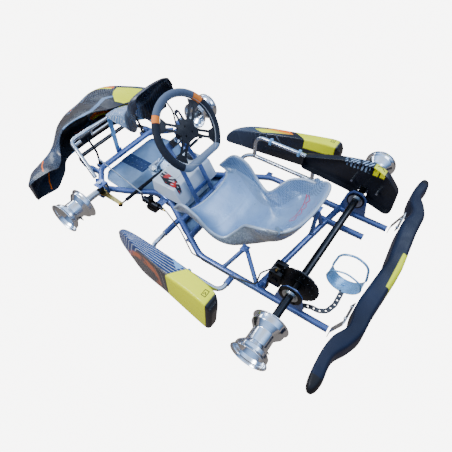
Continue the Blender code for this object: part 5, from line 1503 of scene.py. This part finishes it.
def build_tank():
    upper = loft([[at(x, y, z) for y, z in TANK_PROFILE] for x in (-0.126, 0.134)])
    upper = eased(upper, 0.010, 6)
    lower = eased(box(at(0.0, 0.662, 0.006), (0.180, 0.080, 0.040)), 0.006, 4)
    seam = tube([at(-0.124, 0.700, 0.0990), at(0.132, 0.700, 0.0990)], 0.0011, 8)
    neck = turned([(0.0235, 0.0), (0.0235, -0.003), (0.015, -0.003), (0.015, 0.0)],
                  at(*CAP_PLACE, 0.0988), (0, 0, 1), 48)
    piece("tank_moulding", merged(upper, lower, seam, neck), "chassis", LOOK["tank"], ["fuel_tank"],
          50)


def build_cap():
    """Ribbed screw cap with a finger bar."""
    cap = smooth_profile([(CAP_R - 0.001, 0.016), (CAP_R, 0.0135), (CAP_R, 0.0004), (0.0010, 0.0004),
                          (0.0010, 0.016)], 0.0015)
    top = at(*CAP_PLACE, 0.098 + GAP)
    solids = [turned(cap, top, (0, 0, 1), 60)]
    for k in range(CAP_RIBS):
        a = math.tau * k / CAP_RIBS
        spot = top + Vector((CAP_R * math.cos(a), CAP_R * math.sin(a), 0.0016))
        solids.append(cylinder(spot, spot + Vector((0, 0, 0.0112)), 0.0008, 8))
    solids.append(eased(box(top + Vector((0, 0, 0.0172)), (0.030, 0.0045, 0.0030)), 0.001))
    piece("tank_cap", merged(*solids), "fuel_cap", LOOK["black_plastic"], ["fuel_cap"])


STRAP = [(-0.2690, -0.045), (-0.2570, -0.078), (-0.2565, -0.103), (-0.241, -0.129), (-0.200, -0.141),
         (-0.140, -0.139), (-0.105, -0.134)]
STRAP_Z = 0.0348
STRAP_HALF = 0.0095
CRADLE_CENTRE = (-0.1075, -0.130, 0.100)
TROUGH_HALF = 0.030
# inner and outer radius of the trough's sheet
TROUGH_RADII = (0.0622, 0.0648)
# x, height, tube radius
CRADLE_HOOPS = ((-0.1350, 0.135, 0.0035), (-0.0805, 0.172, 0.0045))


def build_strap():
    """Flat perforated strap from the left rail's end to the cradle's foot."""
    path = fillet([at(x, y, 0.0) for x, y in STRAP], 0.030)
    left = []
    right = []
    for i, point in enumerate(path):
        run = (path[min(i + 1, len(path) - 1)] - path[max(i - 1, 0)]).normalized()
        normal = Vector((-run.y, run.x, 0.0)) * STRAP_HALF
        left.append((point.x + normal.x, point.y + normal.y))
        right.append((point.x - normal.x, point.y - normal.y))
    lengths = [(b - a).length for a, b in zip(path, path[1:])]
    holes = []
    for k in range(1, 10):
        way = sum(lengths) * k / 10.4
        i = 0
        while way > lengths[i]:
            way -= lengths[i]
            i += 1
        spot = path[i].lerp(path[i + 1], way / lengths[i])
        holes.append(circle(spot.x, spot.y, 0.0030, 20))
    strap = plate(left + right[::-1], 0.003, holes)
    strap.transform(Matrix.Translation((0, 0, at(0, 0, STRAP_Z).z)))
    end = block((-0.2755, -0.050, STRAP_Z), (0.0100, 0.016, 0.010), 0.001)
    piece("cradle_strap", merged(strap, end), "chassis", LOOK["black_paint"])


def trough_section(centre, angle):
    """Thin flared band across the trough at one angle."""
    out = around(1.0, angle)
    section = []
    for radius, way in ((TROUGH_RADII[0], 1), (TROUGH_RADII[1], -1)):
        for k in range(13):
            x = way * (-TROUGH_HALF + 2 * TROUGH_HALF * k / 12)
            flare = 0.0028 * abs(x / TROUGH_HALF) ** 3
            section.append(centre + out * (radius + flare) + Vector((x, 0, 0)))
    return section


def build_cradle():
    build_strap()
    centre = at(*CRADLE_CENTRE)
    solids = [loft([trough_section(centre, math.radians(188 + 164 * i / 40)) for i in range(41)])]
    for x, top, radius in CRADLE_HOOPS:
        hoop = [(x, -0.0668, 0.084), (x, -0.0672, 0.096), (x, -0.078, top - 0.010),
                (x, -0.130, top + 0.010), (x, -0.182, top - 0.010), (x, -0.1928, 0.096),
                (x, -0.1932, 0.084)]
        solids.append(tube(fillet(world(hoop), 0.05), radius, 16))
    x, y = CRADLE_CENTRE[:2]
    solids.append(eased(cylinder(at(x, y, 0.0352), at(x, y, 0.0412), 0.0055, 6), 0.0005))
    piece("cradle_trough", merged(*solids), "chassis", LOOK["pale_blue"], ["exhaust_cradle"])


# ---- bodywork -----------------------------------------------------------------------------
# x, rear top y z, brow y z, lip y z, rear bottom y
NOSE = [(-0.458, 1.205, 0.100, 1.230, 0.086, 1.236, 0.052, 1.210),
        (-0.440, 1.205, 0.106, 1.243, 0.090, 1.252, 0.058, 1.213),
        (-0.400, 1.197, 0.112, 1.272, 0.092, 1.290, 0.060, 1.206),
        (-0.350, 1.193, 0.110, 1.290, 0.090, 1.312, 0.060, 1.200),
        (-0.300, 1.215, 0.084, 1.308, 0.086, 1.330, 0.060, 1.230),
        (-0.250, 1.262, 0.074, 1.326, 0.086, 1.352, 0.060, 1.266),
        (-0.200, 1.308, 0.124, 1.350, 0.098, 1.384, 0.062, 1.318),
        (-0.150, 1.334, 0.145, 1.374, 0.116, 1.430, 0.066, 1.339),
        (-0.100, 1.324, 0.165, 1.398, 0.132, 1.473, 0.070, 1.341),
        (-0.050, 1.290, 0.185, 1.414, 0.142, 1.500, 0.074, 1.343),
        (0.000, 1.246, 0.201, 1.428, 0.150, 1.508, 0.082, 1.345),
        (0.060, 1.214, 0.196, 1.436, 0.155, 1.496, 0.090, 1.345),
        (0.110, 1.201, 0.189, 1.450, 0.157, 1.500, 0.090, 1.344),
        (0.160, 1.199, 0.179, 1.457, 0.158, 1.505, 0.090, 1.338),
        (0.220, 1.197, 0.160, 1.446, 0.157, 1.500, 0.090, 1.300),
        (0.270, 1.195, 0.145, 1.410, 0.156, 1.472, 0.090, 1.256),
        (0.320, 1.195, 0.130, 1.352, 0.150, 1.432, 0.086, 1.222),
        (0.370, 1.198, 0.119, 1.300, 0.138, 1.374, 0.080, 1.205),
        (0.410, 1.199, 0.112, 1.262, 0.122, 1.330, 0.072, 1.207),
        (0.440, 1.205, 0.106, 1.238, 0.104, 1.290, 0.062, 1.213),
        (0.458, 1.205, 0.100, 1.232, 0.088, 1.256, 0.052, 1.210)]
NOSE_HALF = 0.458
NOSE_COLUMNS = 101
NOSE_THICK = 0.0035
# share of a half turn over which the columns close up towards the ends
NOSE_CROWDING = 0.62


def nose_column(x):
    """Section of the nose at x, from its rear top edge over the brow and lip to the rear bottom."""
    top_y, top_z, brow_y, brow_z, lip_y, lip_z, low_y = blended(NOSE, x)
    top = Vector((top_y, top_z))
    brow = Vector((brow_y, brow_z))
    lip = Vector((lip_y, lip_z))
    chin = Vector((lip_y - 0.006, 0.014))
    keel = Vector((chin.x + 0.30 * (low_y - chin.x), 0.003))
    low = Vector((low_y, 0.0))
    crest = top.lerp(brow, 0.5) + Vector((0.004, 0.006))
    line = [top, crest, brow, brow.lerp(lip, 0.6) + Vector((0.006, 0.008)), lip, chin, keel, low]
    fine = smooth_line([tuple(p) for p in line], 4)
    return [at(x, y, z) for y, z in fine]


def nose_wall(x):
    """Straight rear edge of an end wall, with as many points as a column."""
    top_y, top_z, *_, low_y = blended(NOSE, x)
    places = [k / 28 for k in range(29)]
    return [at(x, top_y + (low_y - top_y) * t, top_z * (1 - t)) for t in places]


def build_nose():
    rows = [nose_wall(-NOSE_HALF - 0.0001)]
    for i in range(NOSE_COLUMNS):
        swing = math.pi * (i / (NOSE_COLUMNS - 1) - 0.5) * NOSE_CROWDING
        rows.append(nose_column(NOSE_HALF * math.sin(swing) / math.sin(math.pi / 2 * NOSE_CROWDING)))
    rows.append(nose_wall(NOSE_HALF + 0.0001))
    piece("nose_moulding", sheet(rows, NOSE_THICK, offset=1.0), "chassis", LOOK["nose"],
          ["nose_fairing"], 40)


# place along the panel, y, z, half width, depth of the side walls
PANEL = [(0.00, 1.118, 0.250, 0.034, 0.008), (0.16, 1.070, 0.274, 0.042, 0.036),
         (0.34, 1.010, 0.300, 0.047, 0.062), (0.48, 0.962, 0.322, 0.056, 0.084),
         (0.60, 0.928, 0.350, 0.074, 0.078), (0.72, 0.900, 0.388, 0.094, 0.070),
         (0.84, 0.874, 0.424, 0.108, 0.062), (0.94, 0.848, 0.450, 0.108, 0.052),
         (1.00, 0.826, 0.460, 0.100, 0.038)]
# across in half widths, down in wall depths
PANEL_SECTION = ((-1.06, 1.0), (-1.01, 0.45), (-0.92, 0.10), (-0.60, -0.06), (0.0, -0.12),
                 (0.60, -0.06), (0.92, 0.10), (1.01, 0.45), (1.06, 1.0))

PANEL_ROWS = 60
PANEL_THICK = 0.003


def panel_row(s):
    """Section across the panel, square to its run, with side walls."""
    y, z, half, wall = blended(PANEL, s)
    y2, z2 = blended(PANEL, min(s + 0.02, 1.0))[:2]
    y1, z1 = blended(PANEL, max(s - 0.02, 0.0))[:2]
    run = Vector((0, y2 - y1, z2 - z1)).normalized()
    down = Vector((1, 0, 0)).cross(run)
    if down.z > 0:
        down = -down
    centre = at(0, y, z)
    section = smooth_line(PANEL_SECTION, 6)
    return [centre + Vector((half * x, 0, 0)) + down * wall * drop for x, drop in section]


def build_panel():
    rows = [panel_row(i / PANEL_ROWS) for i in range(PANEL_ROWS + 1)]
    piece("panel_moulding", sheet(rows, PANEL_THICK, offset=1.0), "chassis", LOOK["panel"],
          ["front_panel"], 40)


# y, inner top x z, outer top x z, outer bottom x, inner bottom x
POD = [(0.170, 0.472, 0.138, 0.524, 0.140, 0.528, 0.486), (0.205, 0.457, 0.155, 0.521, 0.155, 0.525, 0.466),
       (0.280, 0.444, 0.158, 0.510, 0.150, 0.514, 0.448), (0.400, 0.428, 0.146, 0.495, 0.134, 0.495, 0.432),
       (0.535, 0.411, 0.122, 0.467, 0.124, 0.478, 0.414), (0.635, 0.400, 0.103, 0.437, 0.111, 0.447, 0.405),
       (0.700, 0.394, 0.080, 0.415, 0.084, 0.424, 0.397), (0.742, 0.392, 0.042, 0.401, 0.044, 0.404, 0.392)]
POD_REAR_Y = 0.170
POD_LENGTH = 0.572
POD_SECTIONS = 140
POD_FLOOR_Z = -0.004
POD_EDGE = 0.010
# length over which the ends round off, and how far an end closes in
POD_ROLL = 0.022
POD_END_SHARE = 0.55


def pod_section(side, y):
    """Four-cornered section of a pod, drawn in towards its middle near the ends."""
    ix, iz, ox, oz, obx, ibx = blended(POD, y)
    corners = [at(side * ix, y, iz), at(side * ox, y, oz), at(side * obx, y + 0.004, POD_FLOOR_Z),
               at(side * ibx, y + 0.004, POD_FLOOR_Z)]
    middle = sum(corners, Vector()) / 4
    end = min((y - POD_REAR_Y) / POD_ROLL, (POD_REAR_Y + POD_LENGTH - y) / POD_ROLL, 1.0)
    share = POD_END_SHARE + (1.0 - POD_END_SHARE) * math.sqrt(1.0 - (1.0 - max(end, 0.0)) ** 2)
    return soft_corners([middle.lerp(corner, share) for corner in corners], POD_EDGE)


def build_pods():
    for side, name in ((-1, "left"), (1, "right")):
        sections = []
        for i in range(POD_SECTIONS + 1):
            swing = 0.5 - 0.5 * math.cos(math.pi * i / POD_SECTIONS)
            sections.append(pod_section(side, POD_REAR_Y + POD_LENGTH * swing))
        piece("pod_moulding_" + name, loft(sections), "chassis", LOOK["pod_" + name],
              ["side_pod_" + name],
              40)


# |x|, front y, rear y, low z, high z
BUMPER = [(0.000, -0.222, -0.284, 0.028, 0.152), (0.120, -0.210, -0.276, 0.030, 0.150),
          (0.220, -0.203, -0.270, 0.030, 0.146), (0.300, -0.214, -0.270, 0.032, 0.138),
          (0.360, -0.188, -0.252, 0.040, 0.132), (0.420, -0.180, -0.226, 0.050, 0.124),
          (0.500, -0.184, -0.230, 0.056, 0.118), (0.538, -0.192, -0.224, 0.064, 0.110),
          (0.550, -0.200, -0.216, 0.076, 0.098)]

BUMPER_HALF = 0.550
BUMPER_SECTIONS = 120
BUMPER_EDGE = 0.016


def build_bumper():
    """Sections crowd a little towards the ends, where the bumper rounds off."""
    sections = []
    for i in range(BUMPER_SECTIONS + 1):
        share = 2 * i / BUMPER_SECTIONS - 1
        x = BUMPER_HALF * (0.25 * math.sin(math.pi / 2 * share) + 0.75 * share)
        front, rear, low, high = blended(BUMPER, abs(x))
        corners = [at(x, front, high), at(x, rear + 0.006, high - 0.004), at(x, rear, low),
                   at(x, front, low)]
        sections.append(soft_corners(corners, BUMPER_EDGE, 8))
    piece("bumper_moulding", loft(sections), "chassis", LOOK["bumper"], ["rear_bumper"],
          45)


GUARD = [(0.287, 0.147), (0.126, 0.205), (0.050, 0.223), (-0.017, 0.231),
         (-0.080, 0.205), (-0.135, 0.149), (-0.143, 0.015), (-0.072, 0.035),
         (0.066, 0.067), (0.291, 0.082)]

GUARD_X = 0.3490
GUARD_DEPTH = 0.032
GUARD_ROUND = 0.055
GUARD_WALL = 0.0042
GUARD_FACE = 0.003
GUARD_BOLTS = ((0.055, 0.122), (-0.061, 0.105))


def build_guard():
    """Moulded cover, open towards the kart's middle, with a slot for the axle."""
    outline = rounded(GUARD, GUARD_ROUND)
    across_y = (0, 1, 0)
    upright = (0, 0, 1)
    outer = laid(plate(outline, GUARD_DEPTH, bevel=0.0025), at(GUARD_X, 0, 0), across_y, upright)
    centre = Vector((sum(p[0] for p in GUARD), sum(p[1] for p in GUARD))) / len(GUARD)
    inner = [tuple(Vector(p) + (centre - Vector(p)).normalized() * GUARD_WALL) for p in outline]
    pocket = laid(plate(inner, GUARD_DEPTH), at(GUARD_X - GUARD_FACE, 0, 0), across_y, upright)
    slot = cylinder(at(0.32, 0, AXLE_Z), at(0.39, 0, AXLE_Z), 0.0200, 48)
    below = box(at(0.355, 0.0, 0.030), (0.07, 0.0384, 0.104))
    mesh = cut(outer, pocket, slot, below)
    piece("guard_moulding", mesh, "chassis", LOOK["guard"], ["chain_guard"], 40)
    bolts = []
    for y, z in GUARD_BOLTS:
        bolts.append(cylinder(at(0.3360, y, z), at(0.3640, y, z), 0.0050))
        bolts.append(turned([(0.0095, 0.0), (0.0095, -0.0014), (0.005, -0.0014), (0.005, 0.0)],
                            at(0.3664, y, z), (1, 0, 0), 32))
        bolts.append(eased(cylinder(at(0.3660, y, z), at(0.3705, y, z), 0.0062, 6), 0.0006))
    piece("guard_bolts", merged(*bolts), "chassis", LOOK["zinc"])


for build in (build_frame, build_bars, build_seat, build_rims, build_axle, build_grip, build_hose,
              build_tank, build_cap, build_cradle, build_nose, build_panel, build_pods,
              build_bumper, build_guard):
    build()


# ---- floor, light, camera -----------------------------------------------------------------
PAPER = (0.985, 0.970, 0.955)
PAPER_GLOW = 7.5
FLOOR_TONE = (0.42, 0.37, 0.34)
FLOOR_GLOW = 0.75
FLOOR_HALF = 9.0


def paper_shader(nodes, links, plain, background):
    """Bright even paper where the camera sees it, a softer tone where the object mirrors it."""
    glow = nodes.new("ShaderNodeBackground" if background else "ShaderNodeEmission")
    glow.inputs["Color"].default_value = (*PAPER, 1.0)
    glow.inputs["Strength"].default_value = PAPER_GLOW
    seen = nodes.new("ShaderNodeLightPath")
    both = nodes.new("ShaderNodeMixShader")
    links.new(seen.outputs["Is Camera Ray"], both.inputs[0])
    links.new(plain, both.inputs[1])
    links.new(glow.outputs[0], both.inputs[2])
    return both.outputs[0]


def build_floor():
    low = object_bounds()[0][2] - 0.0008
    corners = [(x * FLOOR_HALF, y * FLOOR_HALF, low) for x, y in ((-1, -1), (1, -1), (1, 1), (-1, 1))]
    mesh = from_faces(corners, [(0, 1, 2, 3)])
    floor = bpy.data.objects.new("floor", mesh)
    bpy.context.scene.collection.objects.link(floor)
    made = bpy.data.materials.new("floor")
    made.use_nodes = True
    nodes = made.node_tree.nodes
    links = made.node_tree.links
    nodes.clear()
    out = nodes.new("ShaderNodeOutputMaterial")
    tone = nodes.new("ShaderNodeEmission")
    tone.inputs["Color"].default_value = (*FLOOR_TONE, 1.0)
    tone.inputs["Strength"].default_value = FLOOR_GLOW
    links.new(paper_shader(nodes, links, tone.outputs[0], False), out.inputs[0])
    mesh.materials.append(made)


# height in the sky, colour mirrored from there
SKY_STOPS = ((0.0, (0.30, 0.28, 0.28)), (0.10, (0.62, 0.50, 0.42)), (0.17, (0.10, 0.13, 0.20)),
             (0.36, (0.20, 0.34, 0.62)), (0.58, (0.55, 0.88, 1.45)), (0.80, (1.10, 1.55, 2.30)),
             (1.0, (1.6, 2.0, 2.6)))


def build_world():
    """Studio sky: warm near the horizon, dark above it, blue overhead."""
    sky = bpy.data.worlds.new("studio")
    sky.use_nodes = True
    bpy.context.scene.world = sky
    nodes = sky.node_tree.nodes
    links = sky.node_tree.links
    nodes.clear()
    out = nodes.new("ShaderNodeOutputWorld")
    coords = nodes.new("ShaderNodeTexCoord")
    split = nodes.new("ShaderNodeSeparateXYZ")
    ramp = nodes.new("ShaderNodeValToRGB")
    for place, colour in SKY_STOPS:
        stop = ramp.color_ramp.elements.new(place)
        stop.color = (*colour, 1.0)
    ramp.color_ramp.elements.remove(ramp.color_ramp.elements[0])
    sheen = nodes.new("ShaderNodeBackground")
    sheen.inputs["Strength"].default_value = 1.0
    links.new(coords.outputs["Generated"], split.inputs[0])
    links.new(split.outputs[2], ramp.inputs[0])
    links.new(ramp.outputs[0], sheen.inputs["Color"])
    links.new(paper_shader(nodes, links, sheen.outputs[0], True), out.inputs[0])


def area_light(name, place, target, size, watts, colour):
    data = bpy.data.lights.new(name, "AREA")
    data.shape = "RECTANGLE"
    data.size, data.size_y = size
    data.energy = watts
    data.color = colour
    lamp = bpy.data.objects.new(name, data)
    lamp.location = place
    lamp.rotation_euler = (Vector(target) - Vector(place)).to_track_quat("-Z", "Y").to_euler()
    bpy.context.scene.collection.objects.link(lamp)


# name, place, target, size, watts, colour
LIGHTS = (("key", (-1.8, 1.4, 2.4), (0, 0, 0.1), (1.2, 0.8), 95, (1.0, 0.98, 0.95)),
          ("fill", (1.9, -1.6, 2.0), (0, 0, 0.1), (1.6, 1.0), 30, (0.82, 0.90, 1.0)),
          ("edge", (0.6, 2.4, 1.3), (0, 0.1, 0.2), (1.8, 0.5), 26, (0.90, 0.95, 1.0)))

CAMERA_PLACE = (-0.9765, -0.8097, 1.2610)
CAMERA_AZIMUTH = math.radians(-52.889)
CAMERA_HEIGHT = math.radians(52.891)
CAMERA_ROLL = math.radians(-1.780)
CAMERA_LENS = 30.19
CAMERA_SHIFT = (0.0217, 0.0553)


def build_camera():
    """Camera behind the left side, looking down at the seat."""
    a, e, r = CAMERA_AZIMUTH, CAMERA_HEIGHT, CAMERA_ROLL
    back = Vector((math.sin(a) * math.cos(e), -math.cos(a) * math.cos(e), math.sin(e)))
    right = Vector((math.cos(a), math.sin(a), 0.0))
    up = back.cross(right)
    turned_right = right * math.cos(r) + up * math.sin(r)
    turned_up = up * math.cos(r) - right * math.sin(r)
    data = bpy.data.cameras.new("camera")
    data.lens = CAMERA_LENS
    data.sensor_width = 36.0
    data.shift_x, data.shift_y = CAMERA_SHIFT
    data.clip_start = 0.02
    camera = bpy.data.objects.new("camera", data)
    turn = Matrix((turned_right, turned_up, back)).transposed().to_4x4()
    camera.matrix_world = Matrix.Translation(CAMERA_PLACE) @ turn
    bpy.context.scene.collection.objects.link(camera)
    bpy.context.scene.camera = camera


build_floor()
build_world()
for light in LIGHTS:
    area_light(*light)
build_camera()
